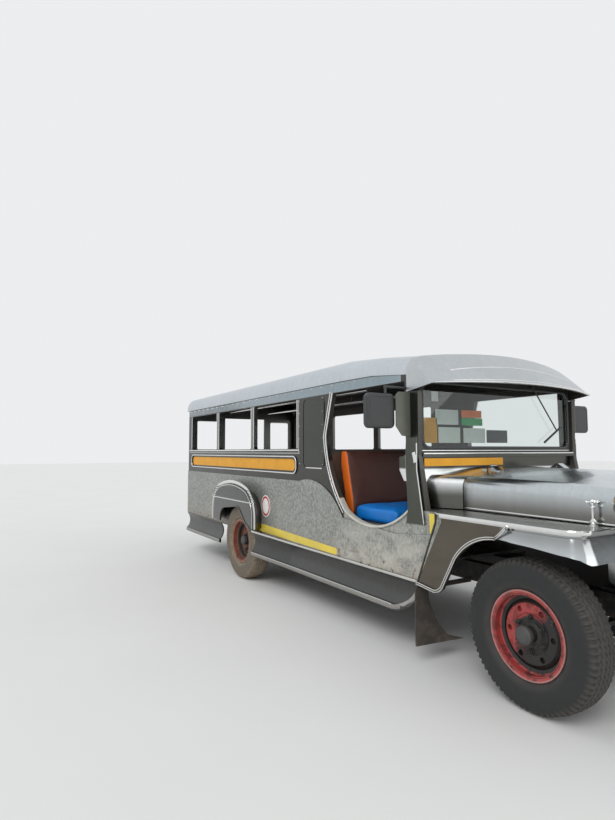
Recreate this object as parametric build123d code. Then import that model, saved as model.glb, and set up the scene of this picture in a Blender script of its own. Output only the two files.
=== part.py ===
from build123d import *
import os
from math import cos, sin, radians

# A long-bodied passenger jeepney with a stainless-steel body on a ladder frame.
# Millimetres. +X points to the front, +Y to the vehicle's left, +Z up.
# The origin is on the ground, midway between the bumper and the rear step.
# Places along the vehicle are given from the front axle, forward positive.

# Stance
wheelbase = 3450
front_overhang = 780
rear_overhang = 2170
front_rim_plane = 820
rear_rim_plane = 880

# Wheels and tyres
tyre_radius = 380
tyre_width = 200
tyre_wall = 14
rim_width = 160
rim_flange_radius = 222
rim_seat_radius = 204
rim_well_radius = 180
rim_thickness = 8
bead_clearance = 0.3
hub_radius = 58
hub_cap_radius = 42
spindle_radius = 22
axle_stub_radius = 30
drum_radius = 150
drum_width = 62
front_disc_out = 34
front_hub_outer = 110
front_hub_inner = 70
rear_disc_out = -18
rear_hub_outer = 62
rear_hub_inner = 100
running_fit = 0.05
disc_hole_count = 6
disc_hole_radius = 15
disc_hole_circle = 128

# Chassis
rail_centre = 380
rail_width = 70
rail_bottom = 460
rail_top = 580
rail_web = 8
crossmember_height = 52
crossmember_width = 80
crossmember_places = (480, -1130, -1900, -2700, -4150, -5300)
beam_height = 55
beam_width = 60
beam_drop = 62
kingpin_offset = 600
kingpin_radius = 14
kingpin_boss_radius = 28
kingpin_boss_height = 70
yoke_gap = 1.0
yoke_thickness = 26
yoke_half_width = 34
axle_tube_radius = 45
differential_radius = 150
differential_half_width = 110
spring_width = 60
leaf_thickness = 9
leaf_count = 5
front_spring_half_length = 480
rear_spring_half_length = 600
front_spring_rise = 52
rear_spring_rise = 74
shaft_radius = 38

# Body
body_half_width = 820
body_wall = 35
body_bottom = 480
body_rear = -5360
floor_thickness = 20
seam_height = 1855
fascia_depth = 85
window_sill = 1330
window_pitch = 980
window_width = 890
window_count = 3
first_window_front = -2360
window_corner = 25
roof_thickness = 22
roof_lip = 6
roof_rear_overhang = 60
joint_gap = 0.3
panel_recess = 6
belt_height = 1050
belt_rise = 7

# Front end
bulkhead = -800
bulkhead_thickness = 35
ledge_height = 1295
ledge_thickness = 26
ledge_depth = 35
hood_seam = -587
hood_gap = 6
hood_thickness = 10
hood_front = 445
hinge_height = 1208
hinge_place = 350
hinge_eye_radius = 12
hinge_pin_radius = 6
hinge_eye_length = 40
fender_top = 942
fender_sheet = 10
fender_inner = 580
fender_outer = 880
fender_front = 345
fender_corner = 92
fender_rear = -520
fender_shoulder = 888
flange_depth = 26
flange_reach = 8
groove_depth = 12
apron_top = 903
apron_bottom = 790
apron_reach = 36
arch_bead = 14
grille_front = 560
grille_rear = 300
grille_base = 580
grille_opening_half = 430
grille_opening_bottom = 650
grille_opening_top = 1060
grille_bar_count = 9
grille_bar_radius = 11
lamp_place = 740
lamp_height = 1066
lamp_radius = 95
lamp_length = 150
lamp_front = 600
lamp_post_radius = 16
lens_rise = 18
bumper_bottom = 440
bumper_height = 150
bumper_depth = 80
bumper_half_width = 860

# Wheel arches
arch_clear_radius = 430
rear_arch_front = 465
rear_arch_rear = 705
rear_arch_bottom = 550
rear_arch_eaves = 900
rear_arch_ridge = 1045
rear_arch_shoulder = 320
rear_arch_crown = 1325
rear_arch_depth = 125
rear_arch_flare = 85
rear_arch_edge = 42
rear_arch_sheet = 12
rear_opening_top = 742
rear_opening_low = 690

# Skirts below the rub rail, which sweep out to the rear arches
rail_height = 20
rail_depth = 14
skirt_lip = 300
skirt_low = 256
skirt_sheet = 12
skirt_cove = 30
skirt_sweep_out = 110
skirt_sweep_up = 41
skirt_sweep_start = 950
skirt_end = 403
skirt_arch_gap = 8

# Roof visor and windscreen
visor_lip_front = -500
visor_bow_radius = 2210
visor_lean = 1.05
visor_sheet = 16
visor_lip_height = 1755
visor_side_height = 1700
screen_side = 58
screen_bottom = 1330
screen_top = 1765
screen_corner = 60
glass_thickness = 6

# Cab inside
partition = -1835
partition_height = 1290
seat_front = -1110
seat_rear = -1640
seat_box_top = 780
cushion_thickness = 120
seat_side_gap = 45
seat_back_top = 1335
wheel_place = -1190
wheel_side = 420
wheel_above_seat = 270
column_angle = 37
column_radius = 24
column_clearance = 6
steering_shaft_radius = 11
steering_wheel_radius = 195
grip_radius = 13
dash_bottom = 1110
dash_depth = 165

# Passenger space
bench_top = 900
bench_edge = 400
bench_front = -1880
bench_cushion = 90
aisle_plate = 4
entry_half = 310

# Mirrors
mirror_size = 225
mirror_height = 1568
mirror_middle = 1040

# Drive line
nose_length = 190
gearbox_end = -1050
gearbox_centre = 468
engine_front = 330
engine_rear = -450
engine_half = 230
engine_bottom = 480
engine_top = 1010
gearbox_half = 110
gearbox_bottom = 400
tank_rear = -2500
tank_length = 750
tank_bottom = 340
pipe_radius = 22
exhaust_lane = 540
exhaust_level = 280
silencer_rear = -1900
silencer_length = 650
silencer_radius = 70
tail_tip_radius = 26
tail_tip_length = 180
tail_before_axle = 640

# Mud flaps
flap_thickness = 8
flap_outer = 905
flap_low = 110
flap_place = -724
rear_flap_place = -462

# Places worked out from the sizes above
overall_length = front_overhang + wheelbase + rear_overhang
front_axle = overall_length / 2 - front_overhang
rear_axle = front_axle - wheelbase
axle_height = tyre_radius
floor_bottom = rail_top
floor_top = floor_bottom + floor_thickness
inner_half = body_half_width - body_wall - joint_gap
window_head = seam_height - fascia_depth
rear_end = front_axle + body_rear
bulkhead_x = front_axle + bulkhead
roof_half_width = body_half_width + roof_lip
rear_arch_face = body_half_width + rear_arch_depth
screen_half = body_half_width - screen_side
cushion_top = seat_box_top + cushion_thickness
wheel_height = cushion_top + wheel_above_seat
seat_half = inner_half - seat_side_gap
rub_rail_top = body_bottom + rail_height
tail_end = rear_axle + tail_before_axle
front_wheel_middle = front_rim_plane - rim_width / 2
rear_wheel_middle = rear_rim_plane - rim_width / 2


def along(distance):
    """X of a place given from the front axle."""
    return front_axle + distance


def block(x0, x1, y0, y1, z0, z1):
    return Pos((x0 + x1) / 2, (y0 + y1) / 2, (z0 + z1) / 2) * Box(x1 - x0, y1 - y0, z1 - z0)


def side_prism(face, y0, y1):
    """Extrude an outline drawn in X and Z across the vehicle from y0 to y1."""
    return Pos(0, y1, 0) * extrude(Plane.XZ * face, amount=y1 - y0)


def cross_prism(face, x0, x1):
    """Extrude an outline drawn in Y and Z along the vehicle from x0 to x1."""
    return Pos(x0, 0, 0) * extrude(Plane.YZ * face, amount=x1 - x0)


def plan_prism(face, z0, z1):
    """Extrude an outline drawn in X and Y upwards from z0 to z1."""
    return Pos(0, 0, z0) * extrude(face, amount=z1 - z0)


def rod(start, end, radius):
    """A round bar between two points."""
    direction = Vector(*end) - Vector(*start)
    return extrude(Plane(origin=start, z_dir=direction) * Circle(radius), amount=direction.length)


def cross_rod(x, z, y0, y1, radius):
    """A round bar across the vehicle."""
    return rod((x, y0, z), (x, y1, z), radius)


def other_side(part):
    return mirror(part, about=Plane.XZ)


def both_sides(part):
    return part + other_side(part)


def outline(*points):
    return make_face(Polyline(*points, close=True))


def rounded_panel(x0, x1, z0, z1, radius):
    """A rectangle in the drawing plane, given by its sides, with round corners."""
    return Pos((x0 + x1) / 2, (z0 + z1) / 2) * RectangleRounded(x1 - x0, z1 - z0, radius)


def arch_section(half_width, base, corner, crown, radius):
    """Straight sides, rounded shoulders and a crowned top, drawn in Y and Z."""
    sides = Polyline((-half_width, corner), (-half_width, base), (half_width, base), (half_width, corner))
    top = ThreePointArc((half_width, corner), (0, crown), (-half_width, corner))
    face = make_face(sides + top)
    return fillet(face.vertices().sort_by(Axis.Y)[-2:], radius)


def arched_hull(stations, inset=0, base_drop=0):
    """Loft arch sections; columns: place, half width, base, corner, crown, shoulder radius."""
    sections = []
    for place, half_width, base, corner, crown, radius in stations:
        section = arch_section(half_width - inset, base - base_drop, corner - inset, crown - inset,
                               radius - inset)
        sections.append(Plane.YZ.offset(along(place)) * section)
    return loft(sections, ruled=True)


# Columns: place, half width, base, corner, crown, shoulder radius
roof_stations = [
    (body_rear - roof_rear_overhang, roof_half_width, seam_height, 2005, 2075, 150),
    (-1650, roof_half_width, seam_height, 2005, 2075, 150),
    (-1250, roof_half_width, seam_height - 5, 1972, 2044, 130),
    (-870, roof_half_width, seam_height - 40, 1927, 2002, 110),
]
visor_stations = [
    (-870, roof_half_width, 1690, 1927, 2002, 110),
    (-460, roof_half_width - 10, 1690, 1880, 1950, 110),
]
cowl_stations = [
    (bulkhead, 730, fender_top + hood_gap, 1148, 1205, 70),
    (hood_seam - hood_gap / 2, 622, fender_top + hood_gap, 1141, 1198, 70),
]
hood_stations = [
    (hood_seam + hood_gap / 2, 622, fender_top + hood_gap, 1141, 1198, 70),
    (100, 602, fender_top + hood_gap, 1130, 1190, 70),
    (hood_front + 30, fender_inner, fender_top + hood_gap, 1105, 1160, 70),
]
grille_stations = [
    (grille_rear, fender_inner, grille_base, 1112, 1168, 70),
    (grille_front, fender_inner - 14, grille_base, 1092, 1146, 70),
]


# Chassis frame: two channel rails with the spring hangers, and crossmembers let into the channels
def chassis_rails():
    front = along(front_overhang - bumper_depth)
    inner = rail_centre - rail_width / 2
    outer = rail_centre + rail_width / 2
    rail = block(rear_end, front, inner, outer, rail_bottom, rail_top)
    rail -= block(rear_end, front, inner, outer - rail_web, rail_bottom + rail_web, rail_top - rail_web)
    for place, centre, low, high in spring_hangers:
        rail += block(along(place) - 40, along(place) + 40, centre - spring_width / 2,
                      centre + spring_width / 2,
                      low, high)
    return both_sides(rail)


def crossmembers():
    reach = rail_centre + rail_width / 2 - rail_web - joint_gap
    top = rail_top - rail_web - joint_gap
    node = Part()
    for place in crossmember_places:
        start = along(place) - crossmember_width / 2
        node += block(start, start + crossmember_width, -reach, reach, top - crossmember_height, top)
        node -= block(start + rail_web, start + crossmember_width, -reach, reach, top - crossmember_height,
                      top - rail_web)
    return node


# Springs: place of the axle, distance of the spring from the middle, seat height, half length, rise
rear_spring_centre = rail_centre + rail_width / 2 + 10 + spring_width / 2
front_seat_height = axle_height - beam_drop + beam_height / 2
rear_seat_height = axle_height + axle_tube_radius
eye_radius = 18
springs = [
    (0, rail_centre, front_seat_height, front_spring_half_length, front_spring_rise),
    (-wheelbase, rear_spring_centre, rear_seat_height, rear_spring_half_length, rear_spring_rise),
]


def leaf(place, seat, half_length, rise, lift):
    """One bowed leaf: its underside is a circle arc that lies lift above the seat."""
    low = ThreePointArc((along(place) - half_length, seat + lift + rise), (along(place), seat + lift),
                        (along(place) + half_length, seat + lift + rise))
    top = ThreePointArc((along(place) + half_length, seat + lift + rise + leaf_thickness),
                        (along(place), seat + lift + leaf_thickness),
                        (along(place) - half_length, seat + lift + rise + leaf_thickness))
    ends = Line(low @ 1, top @ 0) + Line(top @ 1, low @ 0)
    return make_face(low + top + ends)


def spring_eye_height(seat, rise):
    return seat + joint_gap + (leaf_count - 0.5) * leaf_thickness + rise


def leaf_springs():
    node = Part()
    for place, centre, seat, half_length, rise in springs:
        pack = Part()
        for number in range(leaf_count):
            share = (number + 2) / (leaf_count + 1)
            face = leaf(place, seat, half_length * share, rise * share * share,
                        joint_gap + number * leaf_thickness)
            pack += side_prism(face, centre - spring_width / 2, centre + spring_width / 2)
        for end in (-half_length, half_length):
            pack += cross_rod(along(place + end), spring_eye_height(seat, rise), centre - spring_width / 2,
                              centre + spring_width / 2, eye_radius)
        clamp = block(along(place) - 45, along(place) + 45, centre - spring_width / 2,
                      centre + spring_width / 2,
                      seat + joint_gap, seat + joint_gap + (leaf_count + 1) * leaf_thickness)
        node += both_sides(pack + clamp)
    return node


# Hangers: place, distance from the middle, low and high ends
spring_hangers = []
for place, centre, seat, half_length, rise in springs:
    eye_top = spring_eye_height(seat, rise) + eye_radius
    high = rail_bottom if centre == rail_centre else rail_top
    for end in (-half_length, half_length):
        spring_hangers.append((place + end, centre, eye_top + joint_gap, high))


# Front axle: a dropped beam with an eye for each king pin
def front_axle_beam():
    low = axle_height - beam_drop - beam_height / 2
    top = front_seat_height
    end = kingpin_offset - kingpin_boss_radius / 2
    side = [(end, axle_height + beam_height / 2), (470, top), (0, top), (0, low), (470, low),
            (560, axle_height - beam_height / 2), (end, axle_height - beam_height / 2)]
    shape = outline(*side) + mirror(outline(*side), about=Plane.YZ)
    beam = cross_prism(shape, along(0) - beam_width / 2, along(0) + beam_width / 2)
    flute = cross_prism(outline((-440, low + 12), (440, low + 12), (440, top - 12), (-440, top - 12)),
                        along(0) + 8, along(0) + beam_width / 2)
    beam -= flute + mirror(flute, about=Plane.YZ.offset(along(0)))
    boss = Pos(along(0), kingpin_offset, axle_height) * Cylinder(kingpin_boss_radius, kingpin_boss_height)
    beam += both_sides(boss)
    bore = Cylinder(kingpin_radius + running_fit, 2 * kingpin_boss_height)
    bore = Pos(along(0), kingpin_offset, axle_height) * bore
    return beam - both_sides(bore)


# Steering knuckle: a yoke round the axle's eye, the king pin, the spindle and the steering arm
def steering_knuckle():
    lug_start = kingpin_boss_height / 2 + yoke_gap
    plate_face = kingpin_offset + kingpin_boss_radius + 8
    knuckle = block(along(0) - yoke_half_width, along(0) + yoke_half_width, plate_face, plate_face + 18,
                    axle_height - lug_start - yoke_thickness, axle_height + lug_start + yoke_thickness)
    for level in (axle_height + lug_start, axle_height - lug_start - yoke_thickness):
        knuckle += block(along(0) - yoke_half_width, along(0) + yoke_half_width, kingpin_offset, plate_face,
                         level, level + yoke_thickness)
        yoke = Cylinder(yoke_half_width, yoke_thickness)
        knuckle += Pos(along(0), kingpin_offset, level + yoke_thickness / 2) * yoke
    knuckle += Pos(along(0), kingpin_offset, axle_height) * Cylinder(kingpin_radius, 2 * lug_start + 2)
    knuckle += cross_rod(along(0), axle_height, plate_face, front_rim_plane + 10, spindle_radius)
    arm_level = axle_height - lug_start - yoke_thickness
    arm = outline((0, -18), (0, 20), (-190, -30), (-190, -56))
    knuckle += Pos(along(-20), kingpin_offset, 0) * plan_prism(arm, arm_level, arm_level + 18)
    return knuckle


# Rear axle: tube, differential housing with its nose, and stub shafts
def rear_axle_housing():
    tube_end = rear_wheel_middle - rear_hub_inner - 5
    stub_end = rear_wheel_middle + rear_hub_outer - 12
    axle = cross_rod(rear_axle, axle_height, -tube_end, tube_end, axle_tube_radius)
    axle += cross_rod(rear_axle, axle_height, -stub_end, stub_end, axle_stub_radius)
    profile = make_face(Polyline((0, -differential_half_width), (60, -differential_half_width))
                        + ThreePointArc((60, -differential_half_width), (differential_radius, 0),
                                        (60, differential_half_width))
                        + Polyline((60, differential_half_width), (0, differential_half_width),
                                   (0, -differential_half_width)))
    bowl = revolve(Plane.XY * profile, axis=Axis.Y)
    axle += Pos(rear_axle, 0, axle_height) * bowl
    nose_end = Pos(0, axle_height + 10) * Circle(shaft_radius + 8)
    nose = loft([Plane.YZ.offset(rear_axle + 60) * (Pos(0, axle_height) * Circle(100)),
                 Plane.YZ.offset(rear_axle + nose_length) * nose_end])
    axle += nose
    for centre in (rear_spring_centre,):
        pad = block(rear_axle - 45, rear_axle + 45, centre - spring_width / 2, centre + spring_width / 2,
                    axle_height, rear_seat_height)
        axle += both_sides(pad)
    return axle


def propeller_shaft():
    start = rear_axle + nose_length + joint_gap
    end = along(gearbox_end) - joint_gap
    tube = loft([Plane.YZ.offset(start) * (Pos(0, axle_height + 10) * Circle(shaft_radius)),
                 Plane.YZ.offset(end) * (Pos(0, gearbox_centre) * Circle(shaft_radius))])
    return tube


# Engine and gearbox as plain blocks, on feet that stand on the rails
def engine_block():
    engine = block(along(engine_rear), along(engine_front), -engine_half, engine_half, engine_bottom,
                   engine_top)
    engine += block(along(gearbox_end), along(engine_rear), -gearbox_half, gearbox_half, gearbox_bottom,
                    floor_bottom - 5)
    for place in (engine_rear + 150, engine_front - 160):
        engine += block(along(place) - 35, along(place) + 35, -rail_centre, rail_centre, rail_top,
                        rail_top + 18)
    return engine


def fuel_tank():
    inner = rail_centre + rail_width / 2 + joint_gap
    tank = block(along(tank_rear), along(tank_rear) + tank_length, -seat_half, -inner, tank_bottom,
                 floor_bottom - joint_gap)
    return fillet(tank.edges().filter_by(Axis.X), 25)


# Exhaust: a pipe from the engine's left side, a silencer and a wider end piece
def exhaust():
    down = engine_half + 70
    port = rail_top + 40
    path = FilletPolyline((along(-400), engine_half + joint_gap, port), (along(-400), down, port),
                          (along(-400), down, exhaust_level), (along(-640), down, exhaust_level),
                          (along(-800), exhaust_lane, exhaust_level),
                          (tail_end + 20, exhaust_lane, exhaust_level),
                          radius=35)
    pipe = sweep(Plane(path @ 0, z_dir=path % 0) * Circle(pipe_radius), path=path)
    pipe += rod((tail_end, exhaust_lane, exhaust_level),
                (tail_end + tail_tip_length, exhaust_lane, exhaust_level),
                tail_tip_radius)
    pipe += rod((along(silencer_rear), exhaust_lane, exhaust_level),
                (along(silencer_rear) + silencer_length, exhaust_lane, exhaust_level), silencer_radius)
    for place in (silencer_rear + 150, silencer_rear + silencer_length - 150):
        pipe += block(along(place) - 15, along(place) + 15, exhaust_lane - 4, exhaust_lane + 4,
                      exhaust_level + silencer_radius / 2, floor_bottom)
    return pipe


# Floor: deck, rear wheelhouses and the box under the front seat
def body_floor():
    deck = block(rear_end, bulkhead_x, -inner_half, inner_half, floor_bottom, floor_top)
    inner_wall = rear_rim_plane - rim_width / 2 - tyre_width / 2 - 20
    house = cross_rod(rear_axle, axle_height, inner_wall - 12, inner_half, arch_clear_radius + 12)
    hollow = cross_rod(rear_axle, axle_height, inner_wall, inner_half + 10, arch_clear_radius)
    above = block(rear_axle - 600, rear_axle + 600, 0, 900, floor_bottom, 1200)
    deck += both_sides(house & above)
    deck -= both_sides(hollow)
    box_side = seat_half - 40
    seat_box = block(along(-1760), along(-1150), -box_side, box_side, floor_top, seat_box_top)
    seat_box -= block(along(-1740), along(-1170), 20 - box_side, box_side - 20, floor_top, seat_box_top - 20)
    aisle = block(rear_end + body_wall + 20, along(partition - 45), 20 - bench_edge, bench_edge - 20,
                  floor_top, floor_top + aisle_plate)
    return deck + seat_box + aisle


def side_outline():
    """The side wall in X and Z with the cab pillar and the foot behind the front wheel."""
    foot = Polyline((rear_end, seam_height), (rear_end, body_bottom), (along(-790), body_bottom),
                    (along(-565), 880), (along(-565), fender_top), (along(-705), fender_top),
                    (along(-772), 1283), (along(-768), visor_side_height - joint_gap),
                    (along(-870), visor_side_height - joint_gap), (along(-870), 1815), (along(-1250), 1850),
                    (along(-1650), seam_height), (rear_end, seam_height))
    return make_face(foot)


def door_outline():
    """The open cab entry: a waisted rear edge and a dished sill."""
    sides = Polyline((along(-895), 1776), (along(-890), 1283), (along(-868), 930))
    sill = ThreePointArc((along(-868), 930), (along(-1200), 786), (along(-1600), 860))
    rear_low = ThreePointArc((along(-1600), 860), (along(-1775), 1100), (along(-1868), 1430))
    rear_top = ThreePointArc((along(-1868), 1430), (along(-1812), 1620), (along(-1765), 1776))
    head = Line((along(-1765), 1776), (along(-895), 1776))
    return make_face(sides + sill + rear_low + rear_top + head)


def window_openings():
    openings = []
    for number in range(window_count):
        front = along(first_window_front - number * window_pitch)
        openings.append(rounded_panel(front - window_width, front, window_sill, window_head, window_corner))
    return openings


def belt_panel():
    """The lower panel stands proud of the wall below a crease that swoops down to the door."""
    crease = Polyline((along(-2300), belt_height), (rear_end, belt_height), (rear_end, rub_rail_top),
                      (along(-760), rub_rail_top), (along(-600), 800), (along(-1000), 760),
                      (along(-1630), 800))
    swoop = ThreePointArc((along(-1630), 800), (along(-1830), 985), (along(-2300), belt_height))
    panel = make_face(crease + swoop) & side_outline()
    panel -= offset(door_outline(), amount=14)
    panel -= arch_contour(rear_arch_flare - belt_rise - 1)
    return panel - Pos(rear_axle, axle_height) * Circle(arch_clear_radius)


def rub_rail():
    """A bar along the bottom of the wall, widened behind into a ledge that sweeps out to the rear arch."""
    face = body_half_width
    bend = rear_axle + skirt_sweep_start
    end = rear_axle + skirt_end
    outer = face + rail_depth
    straight = outline((face, body_bottom), (outer, body_bottom), (outer, rub_rail_top),
                       (face, rub_rail_top))
    swept = outline((face, body_bottom), (outer + skirt_sweep_out, body_bottom + skirt_sweep_up),
                    (outer + skirt_sweep_out, rub_rail_top + skirt_sweep_up), (face, rub_rail_top))
    return cross_prism(straight, bend, along(-790)) + loft([Plane.YZ.offset(end) * swept,
                                                            Plane.YZ.offset(bend) * straight], ruled=True)


# Side wall: windows, cab entry, beads, the recessed name band and the rub rail
def body_side():
    inside = body_half_width - body_wall
    wall = side_prism(side_outline(), inside, body_half_width)
    wall -= side_prism(door_outline(), inside - 5, body_half_width + 5)
    for opening in window_openings():
        wall -= side_prism(opening, inside - 5, body_half_width + 5)
    wall -= side_prism(Pos(rear_axle, axle_height) * Circle(arch_clear_radius), inside - 5,
                       body_half_width + 5)
    band_rear = along(first_window_front - (window_count - 1) * window_pitch) - window_width
    band = rounded_panel(band_rear, along(first_window_front), 1112, 1262, 60)
    band_frame = band - offset(band, amount=-14)
    wall += side_prism(band_frame, body_half_width, body_half_width + 10)
    wall -= side_prism(offset(band, amount=-14), body_half_width - panel_recess, body_half_width + 1)
    pressing = rounded_panel(along(-2245), along(-1886), 1168, 1755, 50)
    wall -= side_prism(pressing - offset(pressing, amount=-12), body_half_width - 4, body_half_width + 1)
    frame_line = door_outline()
    trim = offset(frame_line, amount=14) - frame_line
    trim &= outline((along(-2000), 700), (along(-840), 700), (along(-840), 1020), (along(-1000), 1200),
                    (along(-1000), window_head), (along(-2000), window_head))
    wall += side_prism(trim, body_half_width, body_half_width + 9)
    wall += side_prism(belt_panel(), body_half_width, body_half_width + belt_rise)
    return wall + rub_rail()


# Roof and visor
def roof():
    shell = arched_hull(roof_stations)
    return shell - arched_hull(roof_stations, inset=roof_thickness, base_drop=10)


def visor_form(inset):
    """The brow: an arched hull cut by a cone that leans back from the bowed lip."""
    hull = arched_hull(visor_stations, inset=inset)
    height = 340
    low = 1690
    radius = visor_bow_radius + (visor_lip_height - low) * visor_lean
    cone = Pos(along(visor_lip_front) - visor_bow_radius - 1.4 * inset, 0, low + height / 2) * Cone(
        radius, radius - height * visor_lean, height)
    return hull & cone


def roof_visor():
    shell = visor_form(0) - visor_form(visor_sheet)
    under = outline((along(-900), 1600), (along(-300), 1600),
                    (along(-300), visor_lip_height + (visor_lip_height - visor_side_height) * 200 / 370),
                    (along(-870), visor_side_height), (along(-900), visor_side_height))
    shell -= side_prism(under, -1000, 1000)
    return Pos(joint_gap, 0, 0) * shell


# Windscreen
def windscreen_frame():
    back = bulkhead_x - bulkhead_thickness
    frame = block(back, bulkhead_x + 8, -inner_half, inner_half, ledge_height, 2100)
    opening = rounded_panel(-screen_half, screen_half, screen_bottom, screen_top, screen_corner)
    frame -= cross_prism(opening, back - 5, bulkhead_x + 20)
    below_visor = block(back, bulkhead_x + 8, -inner_half, inner_half, ledge_height, visor_side_height)
    return frame & (below_visor + visor_form(visor_sheet + joint_gap))


def windscreen_glass():
    opening = rounded_panel(-screen_half, screen_half, screen_bottom, screen_top, screen_corner)
    pane = offset(opening, amount=-joint_gap)
    return cross_prism(pane, bulkhead_x - 12, bulkhead_x - 12 + glass_thickness)


# Cowl: bulkhead, ledge, dashboard, the flared cowl sheet and the hinge brackets of the hood
def cowl():
    back = bulkhead_x - bulkhead_thickness
    wall = block(back, bulkhead_x, -inner_half, inner_half, floor_top, ledge_height)
    wall += block(bulkhead_x, bulkhead_x + ledge_depth, -inner_half, inner_half,
                  ledge_height - ledge_thickness,
                  ledge_height)
    dash = outline((back, dash_bottom), (back - dash_depth + 45, dash_bottom),
                   (back - dash_depth, dash_bottom + 70),
                   (back - dash_depth, ledge_height - 25), (back, ledge_height))
    hub, down = steering_points()
    passage = rod(tuple(hub), tuple(hub + down * 400), column_radius + column_clearance)
    passage &= block(along(-2000), back, -inner_half, inner_half, 0, 2000)
    wall += side_prism(dash, -inner_half, inner_half) - passage
    sheet = arched_hull(cowl_stations) - arched_hull(cowl_stations, inset=hood_thickness, base_drop=10)
    node = wall + sheet
    hinge_x = along(hood_seam)
    for place in (-hinge_place, hinge_place):
        node += cross_rod(hinge_x, hinge_height, place - hinge_eye_length, place + hinge_eye_length,
                          hinge_pin_radius)
        for side in (-1, 1):
            middle = place + side * (hinge_eye_length - 6)
            strap = outline((hinge_x - 10, hinge_height - 10), (hinge_x + 6, hinge_height - 8),
                            (hinge_x + 8, hinge_height + 8), (hinge_x - 6, hinge_height + 9),
                            (hinge_x - 60, 1184), (hinge_x - 60, 1165), (hinge_x - 14, 1165))
            node += side_prism(strap, middle - 6, middle + 6)
    return node


# Hood: crowned top with deep sides, its front edge on a circle round the hinge
def hood():
    reach = hood_front - hood_seam
    swing = cross_rod(along(hood_seam), hinge_height, -900, 900, reach)
    shell = arched_hull(hood_stations) - arched_hull(hood_stations, inset=hood_thickness, base_drop=10)
    lid = shell & swing
    for place in (-hinge_place, hinge_place):
        half = hinge_eye_length - 13
        eye = outline((along(hood_seam) + 2, hinge_height - 8), (along(hood_seam) + 14, hinge_height + 4),
                      (along(hood_seam) + 60, 1182), (along(hood_seam) + 60, 1166),
                      (along(hood_seam) + 8, 1166))
        lid += side_prism(eye, place - half, place + half)
        lid += cross_rod(along(hood_seam), hinge_height, place - half, place + half, hinge_eye_radius)
        lid -= cross_rod(along(hood_seam), hinge_height, place - half - 5, place + half + 5,
                         hinge_pin_radius + running_fit)
    return lid


# Grille: a shell that carries horizontal bars, and the radiator core behind it
def grille():
    body = arched_hull(grille_stations)
    cavity = block(along(grille_rear - 10), along(grille_front - 16), -fender_inner + 40, fender_inner - 40,
                   grille_base + 30, grille_opening_top + 20)
    opening = rounded_panel(-grille_opening_half, grille_opening_half, grille_opening_bottom,
                            grille_opening_top, 60)
    wheel_room = outline((along(grille_rear - 10), grille_base - 10),
                         (along(hood_front - 40), grille_base - 10),
                         (along(hood_front - 40), grille_base + 25),
                         (along(grille_rear - 10), grille_base + 110))
    body -= cavity + side_prism(wheel_room, -fender_outer, fender_outer)
    body -= block(along(grille_rear - 10), along(hood_front - 60), -fender_inner + 40, fender_inner - 40,
                  grille_base - 10, grille_base + 40)
    body -= cross_prism(opening, along(hood_front), along(grille_front) + 10)
    reach = hood_front - hood_seam + hood_gap
    swing = cross_rod(along(hood_seam), hinge_height, -900, 900, reach)
    body -= swing & block(along(grille_rear - 10), along(hood_front + 100), -900, 900, fender_top, 1300)
    spacing = (grille_opening_top - grille_opening_bottom) / grille_bar_count
    for number in range(grille_bar_count):
        level = grille_opening_bottom + spacing * (number + 0.5)
        body += cross_rod(along(grille_front - 12), level, -grille_opening_half - 8, grille_opening_half + 8,
                          grille_bar_radius)
    core = block(along(grille_front - 110), along(grille_front - 60), -fender_inner + 40, fender_inner - 40,
                 grille_base, grille_opening_top - 20)
    return body + core


# Fenders: a pressed sheet over each front wheel with an apron ahead and a foot behind
def fender_plan(extra):
    corner = fender_corner + extra
    face = outline((along(-900), fender_inner - 200), (along(fender_front) + extra, fender_inner - 200),
                   (along(fender_front) + extra, fender_outer + extra), (along(-900), fender_outer + extra))
    tip = face.vertices().sort_by(Axis.X)[-2:].sort_by(Axis.Y)[-1]
    return fillet(tip, corner)


def fender_arch():
    """The space of the front wheel under the apron, in X and Z."""
    lip = Polyline((along(382), 784), (along(345), 812), (along(298), 824), (along(118), 839),
                   (along(-12), 845))
    curve = ThreePointArc((along(-12), 845), (along(-240), 817), (along(-400), 697))
    leg = Line((along(-400), 697), (along(-495), 535))
    turn = ThreePointArc((along(-495), 535), (along(-530), 490), (along(-583), 472))
    below = Polyline((along(-583), 472), (along(-583), 300), (along(382), 300), (along(382), 784))
    return make_face(lip + curve + leg + turn + below)


def apron_form(skin):
    """The bulged apron ahead of the wheel: the plan outline, flared outwards from top to bottom."""
    return loft([Pos(0, 0, apron_bottom) * fender_plan(apron_reach - skin),
                 Pos(0, 0, apron_top) * fender_plan(-skin)], ruled=True)


def foot_form(skin):
    """The pressed foot behind the wheel, its rear edge sloping down to the rub rail."""
    profile = outline((along(-745) + 1.2 * skin, body_bottom - skin),
                      (along(fender_rear) + skin, fender_shoulder),
                      (along(fender_rear) + skin, fender_top - skin), (along(-20), fender_top - skin),
                      (along(-20), body_bottom - skin))
    return plan_prism(fender_plan(-skin), body_bottom - 20, fender_top) & side_prism(profile, 0, 1000)


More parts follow.
